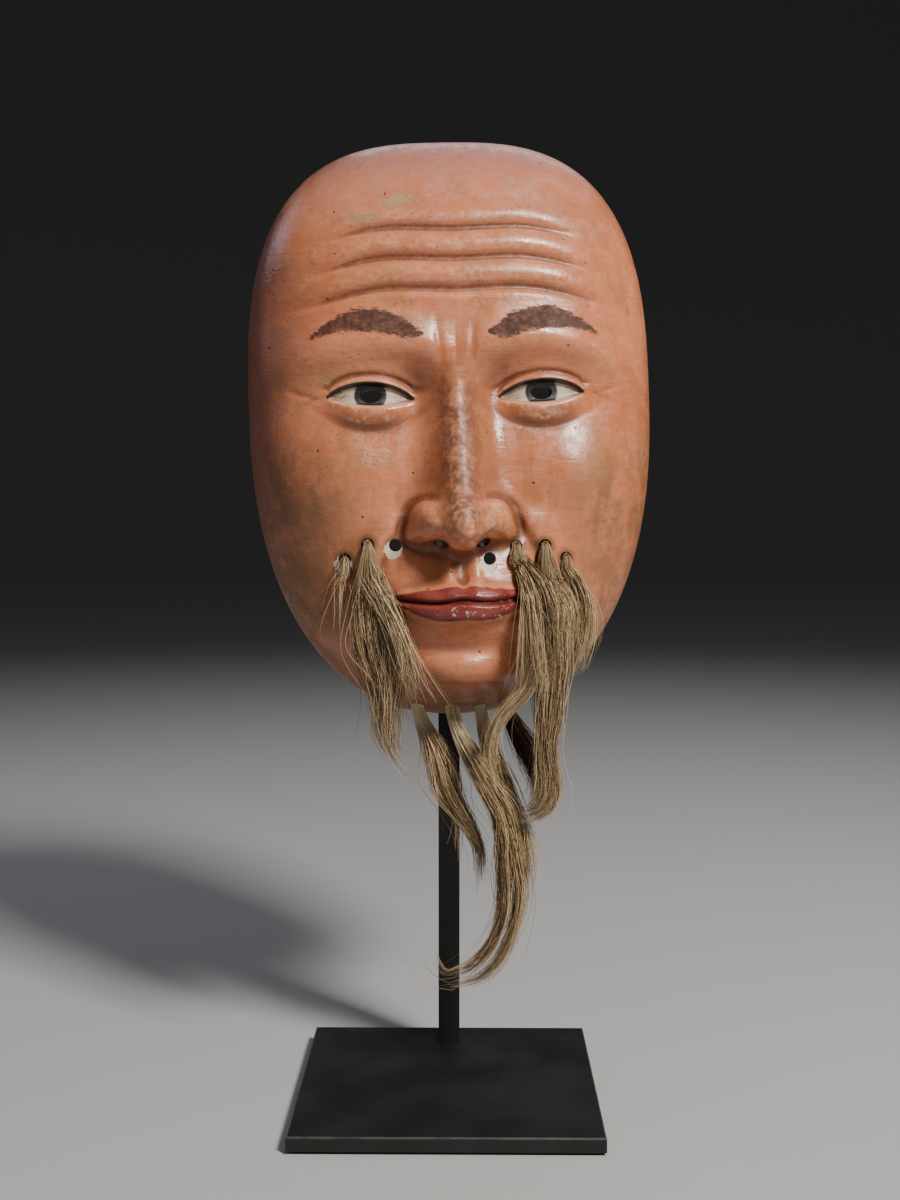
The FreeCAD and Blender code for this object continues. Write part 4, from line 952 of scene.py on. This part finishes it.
BEARD = {
    "outer_left": [
        (-12.6, -4.0, 5.6, 4.0, -24.5), (-9.6, -10.6, 7.6, 4.4, -26.5), (-6.9, -17.8, 8.4, 4.6, -28.0),
        (-4.9, -24.8, 7.6, 4.4, -28.8), (-1.5, -32.0, 5.4, 3.8, -29.0), (2.2, -39.2, 4.2, 3.2, -29.0),
        (5.2, -46.6, 3.0, 2.6, -29.0), (5.6, -56.0, 2.2, 2.0, -28.6), (5.2, -66.0, 1.2, 1.0, -28.0),
    ],
    "inner_left": [
        (-1.6, -3.6, 4.8, 3.6, -29.0), (1.6, -10.2, 6.2, 4.0, -33.0), (5.4, -17.2, 6.4, 4.2, -35.0),
        (9.0, -24.4, 7.0, 4.4, -36.0), (12.4, -31.4, 7.2, 4.4, -37.0), (14.2, -39.0, 7.0, 4.4, -37.4),
        (14.8, -46.0, 7.0, 4.4, -37.4), (15.2, -54.0, 7.2, 4.4, -37.4), (15.4, -61.0, 7.4, 4.4, -37.0),
        (14.6, -68.0, 6.8, 4.4, -36.6), (12.6, -75.0, 6.4, 4.4, -36.0), (9.4, -82.0, 6.6, 4.4, -35.2),
        (5.0, -87.2, 6.6, 4.2, -34.4), (-0.6, -90.8, 5.0, 3.6, -33.6), (-8.4, -91.6, 1.6, 1.4, -33.0),
    ],
    "inner_right": [
        (8.2, -4.6, 4.8, 3.6, -25.5), (9.6, -11.0, 5.0, 3.8, -28.0), (11.8, -18.0, 5.0, 3.8, -29.4),
        (15.0, -29.0, 5.2, 3.6, -30.4), (18.6, -39.0, 5.4, 3.6, -30.8), (21.0, -47.0, 5.2, 3.6, -31.0),
        (21.6, -54.0, 4.8, 3.4, -31.0), (20.6, -61.0, 4.0, 3.0, -30.8), (18.4, -68.0, 1.6, 1.4, -30.4),
    ],
    "outer_right": [
        (19.4, -4.4, 5.0, 3.6, -25.5), (22.8, -10.8, 5.6, 3.8, -30.0), (25.2, -17.2, 5.6, 3.8, -34.5),
        (26.4, -23.0, 5.0, 3.6, -38.0), (26.8, -28.0, 4.2, 3.0, -40.5), (24.6, -32.0, 3.0, 2.2, -42.0),
        (20.0, -33.0, 1.4, 1.0, -43.0),
    ],
}
SETTLE = 0.1
# the hair lies closer to the face than its plain solid does
LIE_GAP = 0.3


def smooth_run(stations, steps=6):
    """More stations between the given ones, on a curve that passes through each of them."""
    rows = np.array(stations, float)
    padded = np.vstack([rows[:1], rows, rows[-1:]])
    run = [rows[0]]
    for k in range(len(rows) - 1):
        p, q, r, u = padded[k : k + 4]
        square, cube = 2 * p - 5 * q + 4 * r - u, 3 * q - p - 3 * r + u
        for j in range(1, steps + 1):
            t = j / steps
            run.append((2 * q + (r - p) * t + square * t * t + cube * t**3) / 2)
    return np.array(run)


def face_front(x, z, half_width, half_height):
    """The foremost of the face in a window round x and z; nothing where the window misses it."""
    i, j = np.meshgrid(np.linspace(-1, 1, 5), np.linspace(-1, 1, 5))
    px, pz = x + i * half_width, z + j * half_height
    found = np.where(outer.gauge(px, pz) < 1, face(px, pz), 0)
    return max(0.0, float(found.max()))


def chin_under(x, depth):
    """Height of the chin's underside, depth in front of the rim's plane."""
    low, high = 0.0, 30.0
    for _ in range(40):
        middle = (low + high) / 2
        inside = outer.gauge(x, middle) < 1 and face(np.array(x), np.array(middle)) > depth
        low, high = (low, middle) if inside else (middle, high)
    return low


def moustache_run(name):
    """The lock's middle line with its width and thickness: x, y, z, width, thickness in each row."""
    x, z = LIP_HOLES[name]
    root = HAIR_HOLE_DIA - 2 * HAIR_GAP
    front = face_front(x, z, root / 2, root / 2)
    here = float(face(np.array(x), np.array(z)))
    rows = [
        (x, ROOT_LENGTH - here, z, root * 0.85, root * 0.85),
        (x, 0.9 - front, z + 0.45, root * 0.65, root * 0.65),
        (x, -front - 0.7, z - 0.8, root * 0.7, root * 0.6),
    ]
    y, fall = rows[-1][1] - 0.3, z - root / 2
    for px, pz, wide, thick in smooth_run([(x, z - root, root + 0.6, root - 1.2)] + MOUSTACHE[name], 3):
        y += SETTLE * max(0.0, fall - pz)
        ahead = face_front(px, pz, wide / 3, 2.0)
        if ahead > 0:
            y = min(y, -(ahead + LIE_GAP + thick / 2))
        fall = pz
        rows.append((px, y, pz, wide, thick))
    return smooth_run(rows, 2)


def beard_run(name):
    x, depth = CHIN_HOLES[name]
    root = HAIR_HOLE_DIA - 2 * HAIR_GAP
    under = chin_under(x, depth)
    low = under - LAY_GAP - 1.2
    rows = [(x, -depth, under + ROOT_LENGTH, root, root), (x, -depth, low, root, root)]
    rows += [(px, y, pz, wide, thick) for px, pz, wide, thick, y in BEARD[name]]
    return smooth_run(rows, 5)


def sweep(run, samples):
    """The run resampled evenly along its length, with its length."""
    steps = np.linalg.norm(np.diff(run[:, :3], axis=0), axis=1)
    along = np.concatenate([[0], np.cumsum(steps)])
    even = np.linspace(0, along[-1], samples)
    return np.stack([np.interp(even, along, run[:, k]) for k in range(5)], -1), along[-1]


def unit(vectors):
    return vectors / np.maximum(np.linalg.norm(vectors, axis=-1), 1e-9)[..., None]


# One turn of the hairs' waves.
ROUND = 6.28
HAIRS_PER_CLUMP = 17


def strands(run, count, samples, tone, loose, stray, short, fuller=1.0, open_tip=1.2, frizz=0.5, split=0):
    """Hairs that follow a run: their middle lines, how far along each sample is, and each hair's shade.

    tone is the middle shade, loose the waviness, stray the share that leaves the lock, short how much of its
    length a hair may lack, fuller a factor on the lock's section, open_tip its least half width further down,
    frizz the fine waviness and split how far it parts into two streams."""
    line, length = sweep(run, samples * 4)
    t = np.linspace(0, 1, samples) ** 1.3
    clumps = max(3, count // HAIRS_PER_CLUMP)
    clump_end = chance.uniform(1 - short * 0.45, 1, clumps)
    clump_tone = chance.normal(tone, 0.12, clumps)
    clump_radius = np.sqrt(chance.uniform(0, 1, clumps)) * 0.9
    clump_angle = chance.uniform(0, 2 * np.pi, clumps)
    centres = np.stack([clump_radius * np.cos(clump_angle), clump_radius * np.sin(clump_angle)], -1)
    # each hair has its place in the section and belongs to the nearest clump
    radius = np.sqrt(chance.uniform(0, 1, count))
    angle = chance.uniform(0, 2 * np.pi, count)
    place = np.stack([radius * np.cos(angle), radius * np.sin(angle)], -1)
    mine = np.argmin(((place[:, None] - centres[None]) ** 2).sum(-1), 1)
    ends = clump_end[mine] * (1 - short * chance.beta(1.1, 2.6, count))
    u = t[None, :] * ends[:, None]
    pick = np.clip(u * (len(line) - 1), 0, len(line) - 1.001)
    low = pick.astype(int)
    part_way = (pick - low)[..., None]

    def along(values):
        return values[low] * (1 - part_way) + values[low + 1] * part_way

    rows = along(line)
    forward = unit(np.gradient(line[:, :3], axis=0))
    side = np.cross(forward, (0, 1.0, 0))
    side[np.linalg.norm(side, axis=1) < 0.15] = (-1.0, 0, 0)
    side = unit(side)
    through = np.cross(forward, side)
    gather = chance.uniform(0.0, 0.65, clumps)[mine][:, None] * np.clip((u - 0.1) / 0.45, 0, 1)
    free = np.minimum(1, 2.2 * u)
    clump_phase = chance.uniform(0, ROUND, (clumps, 2))[mine][:, None, :]
    clump_pace = chance.uniform(0.6, 1.4, (clumps, 2))[mine][:, None, :] * length / 58
    clump_wave = loose * 0.5 * np.sin(u[..., None] * clump_pace * ROUND + clump_phase) * free[..., None]
    clump_drift = chance.normal(0, loose * 1.1, (clumps, 2))[mine][:, None, :] * (u**1.3)[..., None]
    spot = place[:, None, :] * (1 - gather[..., None]) + centres[mine][:, None, :] * gather[..., None]
    own_pace = chance.uniform(2, 9, (count, 1, 2)) * length / 90
    own_wave = np.sin(u[..., None] * own_pace + chance.uniform(0, ROUND, (count, 1, 2)))
    own_wave = chance.normal(0, loose * 1.1, (count, 1, 2)) * own_wave * free[..., None]
    spot = spot + clump_drift + clump_wave + own_wave
    # a lock may part into two streams further down
    apart = np.where(centres[mine, 0] > 0.1, 1.0, -1.0)[:, None] * np.clip((u - 0.42) / 0.2, 0, 1)
    spot[..., 0] = spot[..., 0] * (1 - 0.45 * split * np.abs(apart)) + 0.55 * split * apart
    least = open_tip * np.array([1.0, 0.6]) * np.clip(4 * u - 1, 0, 1)[..., None]
    half = np.maximum(rows[..., 3:5] / 2 * fuller, least)
    points = rows[..., :3] + along(side) * (spot[..., :1] * half[..., :1])
    points = points + along(through) * (spot[..., 1:] * half[..., 1:])
    # fine waviness, and some hairs that leave the lock
    for size, pace in ((0.5, 1.6), (0.22, 4.5), (0.10, 12.0)):
        turns = pace * length / 80 * chance.uniform(0.6, 1.4, (count, 1, 3))
        phase = chance.uniform(0, ROUND, (count, 1, 3))
        points = points + frizz * size * np.sin(u[..., None] * turns * 2.1 + phase) * free[..., None]
    away = chance.uniform(0, 1, count) < stray
    fling = chance.normal(0, 1, (count, 1, 3)) * np.array([6.0, 2.5, 3.0]) * away[:, None, None]
    curl = np.sin(u[..., None] * chance.uniform(1, 5, (count, 1, 3)) + 0.5)
    points = points + fling * curl * (np.clip(u - 0.12, 0, 1) ** 1.4)[..., None]
    shade = np.clip(clump_tone[mine] + chance.normal(0, 0.27, count), 0, 1)
    return points, u, shade


def clear_of_face(points, hole, gap=0.12):
    """Pushes hairs that would enter the mask forward of its face, once they are out of their hole."""
    x, y, z = points[..., 0], points[..., 1], points[..., 2]
    inside = (outer.gauge(x, z) < 1) & (z > 0) & (np.hypot(x - hole[0], z - hole[1]) > HAIR_HOLE_DIA / 2)
    ahead = -(face(x, z) + gap)
    points[..., 1] = np.where(inside & (y > ahead), ahead, y)
    return points


def hair_mesh(name, bundles, thick, hole):
    """Every hair of a lock as a thin three-sided tube that narrows towards its tip."""
    points, faces, shades, runs, start = [], [], [], [], 0
    for lines, u, shade in bundles:
        if hole is not None:
            lines = clear_of_face(lines, hole)
        count, samples = u.shape
        forward = unit(np.gradient(lines, axis=1))
        side = unit(np.cross(forward, np.array([0.3, 1.0, 0.2])))
        other = np.cross(forward, side)
        reach = u / u[:, -1:]
        narrowing = 1 - 0.7 * np.clip((reach - 0.5) / 0.5, 0, 1) ** 1.5
        girth = thick * chance.uniform(0.7, 1.25, (count, 1)) * narrowing
        turn = np.arange(3) * 2 * np.pi / 3
        ring = side[:, :, None] * np.cos(turn)[:, None] + other[:, :, None] * np.sin(turn)[:, None]
        spots = lines[:, :, None] + ring * girth[:, :, None, None] / 2
        points.append(spots.reshape(-1, 3))
        k = start + np.arange(count * samples * 3).reshape(count, samples, 3)
        around = np.roll(k, -1, axis=2)
        quads = np.stack([k[:, :-1], around[:, :-1], around[:, 1:], k[:, 1:]], -1)
        faces.append(quads.reshape(-1, 4))
        shades.append(np.broadcast_to(shade[:, None, None], k.shape).ravel())
        runs.append(np.broadcast_to(u[:, :, None], k.shape).ravel())
        start += k.size
    made = mesh_object(name, to_row(np.concatenate(points)), np.concatenate(faces))
    smooth(made)
    attribute(made, "shade", np.concatenate(shades))
    attribute(made, "run", np.concatenate(runs))
    return made


def branch_from(run, leave, stations):
    """A run that shares a lock's start and then goes its own way."""
    rows = run[: max(3, int(leave * len(run)))]
    rows = rows[:: max(1, len(rows) // 6)]
    return smooth_run(np.vstack([rows, np.array(stations, float)]), 4)


# Branches of the locks: how far along its lock each leaves it, then stations of x, y, z, width and thickness.
BRANCHES = {
    "fan": (
        0.2,
        [(-23.5, -57.4, 36.0, 6.0, 2.0), (-19.6, -58.2, 22.0, 6.0, 2.0), (-15.8, -56.0, 6.0, 4.6, 1.8)],
    ),
    "long fan": (
        0.2,
        [(-19.0, -58.5, 28.0, 3.0, 1.5), (-12.0, -57.0, 12.0, 3.6, 1.5), (-5.0, -53.0, 0.0, 5.0, 1.5)],
    ),
    "outer edge": (0.2, [(-36.6, -51.0, 36.0, 5.0, 1.6), (-38.0, -46.0, 20.0, 6.0, 1.6)]),
    "spray": (0.35, [(-44.0, -50.5, 50.0, 3.0, 1.0), (-47.0, -48.0, 40.0, 4.0, 1.0)]),
    "beside": (
        0.17,
        [(25.4, -60.8, 46.0, 6.0, 2.6), (28.2, -60.2, 30.0, 6.0, 2.6), (28.4, -57.0, 8.0, 4.0, 2.4)],
    ),
    "inner edge": (
        0.17,
        [(20.6, -60.0, 42.0, 3.0, 1.4), (19.6, -59.0, 24.0, 4.0, 1.4), (18.0, -55.0, 5.0, 4.0, 1.4)],
    ),
    "ends early": (0.2, [(32.0, -62.0, 40.0, 8.0, 3.0), (31.6, -58.0, 22.0, 7.0, 3.0)]),
    "spread out": (
        0.3,
        [(44.8, -46.0, 40.0, 3.0, 2.0), (43.6, -45.0, 26.0, 3.0, 2.0), (39.6, -43.0, 13.0, 3.0, 1.6)],
    ),
    "wisp": (0.5, [(-1.6, -29.0, -42.0, 4.0, 2.0), (-3.0, -28.4, -54.0, 5.0, 2.0)]),
    "curl": (
        0.9,
        [(-6.0, -34.0, -91.0, 6.0, 3.0), (-13.0, -33.5, -88.0, 7.0, 3.0), (-16.0, -33.0, -80.0, 7.0, 3.0)],
    ),
}
# The locks in order: their colouring, the thickness of a hair and their bunches. A bunch follows the lock
# itself or a branch, and its numbers are those of strands(): count, samples, tone, loose, stray, short and on.
LOCKS = {
    "moustache_left": ("fair", 0.19, [
        ("lock", 660, 28, 0.44, 0.34, 0.08, 0.5, 1.1, 1.8),
        ("fan", 170, 24, 0.45, 0.4, 0.1, 0.45),
        ("long fan", 14, 24, 0.8, 0.5, 0.3, 0.3),
        ("outer edge", 30, 24, 0.5, 0.5, 0.2, 0.6),
    ]),
    "moustache_left_stray": ("fair", 0.16, [
        ("lock", 18, 26, 0.75, 0.6, 0.3, 0.5, 1.0, 1.2, 0.9),
        ("spray", 22, 26, 0.3, 0.5, 0.3, 0.5),
    ]),
    "moustache_right_inner": ("fair", 0.19, [
        ("lock", 110, 34, 0.5, 0.5, 0.16, 0.25, 1.1, 1.5),
        ("beside", 260, 26, 0.46, 0.38, 0.07, 0.5, 1.2, 1.6),
        ("inner edge", 34, 26, 0.35, 0.5, 0.2, 0.3),
    ]),
    "moustache_right_middle": ("fair", 0.19, [
        ("lock", 640, 40, 0.48, 0.34, 0.07, 0.12, 1.05, 2.6),
        ("ends early", 190, 24, 0.48, 0.38, 0.08, 0.5, 1.1),
    ]),
    "moustache_right_outer": ("fair", 0.19, [
        ("lock", 210, 26, 0.5, 0.4, 0.1, 0.35, 1.0, 1.4),
        ("spread out", 60, 24, 0.6, 0.45, 0.2, 0.4),
    ]),
    "beard_outer_left": ("pale", 0.19, [
        ("lock", 340, 32, 0.52, 0.42, 0.1, 0.5, 1.1, 1.8),
        ("wisp", 40, 26, 0.5, 0.6, 0.3, 0.4, 1.0, 2.5),
    ]),
    "beard_inner_left": ("pale", 0.19, [
        ("lock", 540, 42, 0.55, 0.42, 0.08, 0.22, 1.05, 2.6, 0.5, 1.0),
        ("curl", 24, 40, 0.75, 0.6, 0.2, 0.12, 1.0, 3.0),
    ]),
    "beard_inner_right": ("pale", 0.19, [("lock", 290, 28, 0.55, 0.42, 0.12, 0.45, 1.0, 1.8)]),
    "beard_outer_right": ("dark", 0.19, [("lock", 300, 28, 0.45, 0.36, 0.1, 0.35, 1.15)]),
}
# Colours at the root, along the hair, of its dark hairs and of its light ones.
COLOURINGS = {
    "fair": ((0.40, 0.27, 0.14), (0.43, 0.285, 0.145), (0.050, 0.029, 0.014), (0.80, 0.60, 0.36)),
    # the pale beard's root colour: cream hair brightened further, painted light where the chin shades the
    # roots
    "pale": ((1.0, 0.86, 0.58), (0.31, 0.20, 0.090), (0.050, 0.028, 0.012), (0.70, 0.51, 0.28)),
    "dark": ((0.17, 0.105, 0.055), (0.10, 0.058, 0.028), (0.018, 0.011, 0.007), (0.36, 0.235, 0.115)),
}


def hair():
    """Single hairs in place of each lock's node."""
    finishes = {name: hair_material(name + "_hair", *colours) for name, colours in COLOURINGS.items()}
    for node, (colouring, thick, bunches) in LOCKS.items():
        kind, name = node.split("_", 1)
        run = moustache_run(name) if kind == "moustache" else beard_run(name)
        bundles = []
        for path, *numbers in bunches:
            bundles.append(strands(run if path == "lock" else branch_from(run, *BRANCHES[path]), *numbers))
        made = hair_mesh(node + "_hair", bundles, thick, LIP_HOLES.get(name))
        made.data.materials.append(finishes[colouring])
        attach(made, "mask")
        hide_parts(node)


# Edges sharper than this many degrees stay crisp: the rims of the holes.
CRISP = 48


def mask():
    points, flat, sizes = shell_mesh()
    made = make_solid(mesh_object("carved_mask", to_row(points), flat, sizes))
    tool = cutters()
    cut = made.modifiers.new("holes", "BOOLEAN")
    cut.operation = "DIFFERENCE"
    cut.solver = "MANIFOLD"
    cut.object = tool
    apply_modifiers(made)
    bpy.data.objects.remove(tool)
    made.data.materials.clear()
    made.data.materials.append(lacquer())
    smooth(made)
    made.data.set_sharp_from_angle(angle=math.radians(CRISP))
    paint_marks(made)
    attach(made, "mask")
    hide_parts("mask_shell")


PLATE_HALF, _, PLATE_TOP = (float(value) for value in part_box("base_plate")[1])


def rounded(half_x, half_y, radius, steps=8):
    """Corners of a rectangle with round corners, about the origin."""
    made = []
    for k, (a, b) in enumerate(((1, 1), (-1, 1), (-1, -1), (1, -1))):
        middle = (a * (half_x - radius), b * (half_y - radius))
        for j in range(steps + 1):
            way = math.radians(90 * k + 90 * j / steps)
            made.append((middle[0] + radius * math.cos(way), middle[1] + radius * math.sin(way)))
    return np.array(made)


def felt_piece(name, node, slabs, material):
    """Soft slabs with rounded edges and a slightly uneven face, in place of the node's plain solids.

    Each slab has an outline, a thickness and its place."""
    points, flat, sizes, start = [], [], [], 0
    for outline, thick, place in slabs:
        n = len(outline)
        centre = outline.mean(0)
        away = outline - centre
        far = np.linalg.norm(away, axis=1)[:, None]
        soft = min(0.35, thick / 3)
        rows = [(0.9, 0.0), (soft, 0.0), (0.0, soft), (0.0, thick - soft), (soft * 0.4, thick - soft * 0.4)]
        rows += [(soft, thick), (0.9, thick + 0.02)]
        rings = [(centre + away * (1 - inset / far), high) for inset, high in rows]
        rings = [(centre + away * 0.45, 0.0)] + rings + [(centre + away * 0.45, thick)]
        for k, (spots, high) in enumerate(rings):
            ripple = 0.03 * np.sin(np.arange(n) * 2.4 + k) + chance.normal(0, 0.012, n)
            lift = 0.0 if high == 0.0 else -np.abs(ripple)
            points.append(np.column_stack([spots, np.full(n, high) + lift]) @ place[:3, :3].T + place[:3, 3])
        k = np.arange(n)
        for row in range(len(rings) - 1):
            a, b = start + row * n, start + (row + 1) * n
            quads = np.stack([a + k, a + np.roll(k, -1), b + np.roll(k, -1), b + k], -1)
            flat.append(quads.ravel())
            sizes += [4] * n
        flat.append(start + k[::-1])
        flat.append(start + (len(rings) - 1) * n + k)
        sizes += [n, n]
        start += n * len(rings)
    made = mesh_object(name, np.concatenate(points) * MM, np.concatenate(flat), np.array(sizes))
    make_solid(made)
    smooth(made)
    made.data.materials.append(material)
    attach(made, "stand")
    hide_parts(node)


# felt pads, as in the part's source
FELT_THICK = 1.0
FELT_HALF = 50.5
PAD_THICK = 1.5
PAD_LENGTH = 14.0
CROSS_HALF = 28.0
CROSS_WIDTH = 8.0
CROSS_Y = -11.83
PAD_TOP = 197.57
BUMPER_DIA = 7.0
BUMPER_THICK = 2.0
BUMPER_Z = 138.2
POST_FRONT = 36.5


def felt_pieces(cloth):
    sheet = (rounded(FELT_HALF, FELT_HALF, 1.0), FELT_THICK, np.eye(4))
    felt_piece("foot_felt", "base_felt", [sheet], cloth)
    pads = []
    half = CROSS_WIDTH / 2
    for side in (-1, 1):
        outline = rounded(PAD_LENGTH / 2, half, half - 0.01)
        # only the outer end is round
        square = outline[:, 0] * side < 0
        outline[square, 0] = -side * PAD_LENGTH / 2
        outline[square, 1] = np.clip(outline[square, 1] * 1.6, -half, half)
        spot = (side * (CROSS_HALF - PAD_LENGTH / 2), CROSS_Y, PAD_TOP - PAD_THICK)
        pads.append((outline, PAD_THICK, TO_ROW @ np.array(Matrix.Translation(spot))))
    felt_piece("bar_felts", "cross_pads", pads, cloth)
    radius = BUMPER_DIA / 2
    turned = Matrix.Translation((0, POST_FRONT, BUMPER_Z)) @ Matrix.Rotation(math.radians(90), 4, "X")
    disc = (rounded(radius, radius, radius - 0.001), BUMPER_THICK, np.array(turned))
    felt_piece("chin_felt", "chin_bumper", [disc], cloth)


def stand():
    """The stand's CAD nodes keep their shapes and get finished materials."""
    steel, cloth, screw, wood = black_steel(), felt(), screw_steel(), peg_wood()
    finishes = {
        steel: ("base_plate", "post", "arm", "cross_bar"),
        screw: ("foot_screw", "arm_screws", "cross_screw"),
        wood: ("moustache_pegs", "beard_pegs"),
    }
    for material, nodes in finishes.items():
        for node in nodes:
            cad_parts[node].data.materials.clear()
            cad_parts[node].data.materials.append(material)
    felt_pieces(cloth)


def soft_box(name, spot, aim, size, power, colour):
    light = bpy.data.lights.new(name, "AREA")
    light.shape = "RECTANGLE"
    light.size, light.size_y = size
    light.energy = power
    light.color = colour
    made = bpy.data.objects.new(name, light)
    made.location = spot
    made.rotation_euler = (Vector(aim) - Vector(spot)).to_track_quat("-Z", "Y").to_euler()
    scene.collection.objects.link(made)


def studio():
    """A round pale floor that sweeps up into a darker wall, soft light from the upper right, some fill."""
    wall, bend, top, steps, turns = 2.6, 0.9, 3.2, 16, 96
    profile = [(0.01, 0.0), (0.4, 0.0), (1.0, 0.0)]
    for k in range(steps + 1):
        way = math.radians(90 * k / steps)
        profile.append((wall - bend + bend * math.sin(way), bend - bend * math.cos(way)))
    profile.append((wall, top))
    turn = np.arange(turns) / turns * 2 * np.pi
    across, along = np.cos(turn), np.sin(turn)
    rows = np.array([np.stack([r * across, r * along, np.full(turns, z)], -1) for r, z in profile])
    k = np.arange(len(profile) * turns).reshape(len(profile), turns)
    quads = np.stack([k[:-1], k[1:], np.roll(k[1:], -1, 1), np.roll(k[:-1], -1, 1)], -1).reshape(-1, 4)
    flat = np.concatenate([quads.ravel(), k[0]])
    sweep_up = mesh_object("floor", rows.reshape(-1, 3), flat, np.array([4] * len(quads) + [turns]))
    smooth(sweep_up)
    n = Nodes("floor")
    from_middle = n.new("VectorMath", operation="LENGTH")
    n.feed(from_middle.inputs[0], n.place())
    deep = n.ramp(from_middle.outputs["Value"], 0.3, 2.2)
    pale = n.mix(deep, (0.46, 0.46, 0.46), (0.05, 0.05, 0.052))
    sweep_up.data.materials.append(n.finish(colour=pale, rough=0.9))
    aim = (0, 0, 0.22)
    soft_box("key", (0.62, -0.80, 1.06), aim, (0.26, 0.26), 28.0, (1.0, 0.95, 0.89))
    soft_box("fill", (-0.95, -0.80, 0.35), aim, (0.9, 0.9), 0.5, (0.90, 0.94, 1.0))
    soft_box("edge", (-0.75, 0.35, 0.75), aim, (0.3, 0.3), 0.7, (0.78, 0.78, 1.0))
    soft_box("back", (0.10, 0.95, 1.20), aim, (0.8, 0.6), 2.0, (0.95, 0.97, 1.0))
    world = bpy.data.worlds.new("studio")
    world.use_nodes = True
    world.node_tree.nodes["Background"].inputs[0].default_value = (0.62, 0.63, 0.65, 1)
    world.node_tree.nodes["Background"].inputs[1].default_value = 0.35
    scene.world = world


# The photograph's camera, found from the corners of the base plate and the mask's outline.
CAMERA_SPOT = (6.27, -537.65, 212.74)
CAMERA_FOCUS = 1525.8
CAMERA_DOWN = 3.663
CAMERA_TURN = 0.588
PHOTO_HEIGHT = 1200.0
SENSOR = 36.0


def camera():
    data = bpy.data.cameras.new("camera")
    data.sensor_fit = "AUTO"
    data.sensor_width = SENSOR
    data.lens = CAMERA_FOCUS / PHOTO_HEIGHT * SENSOR
    made = bpy.data.objects.new("camera", data)
    made.location = Vector(CAMERA_SPOT) * MM
    made.rotation_euler = (math.radians(90 - CAMERA_DOWN), 0, math.radians(CAMERA_TURN))
    scene.collection.objects.link(made)
    scene.camera = made


camera()
studio()
stand()
mask()
hair()
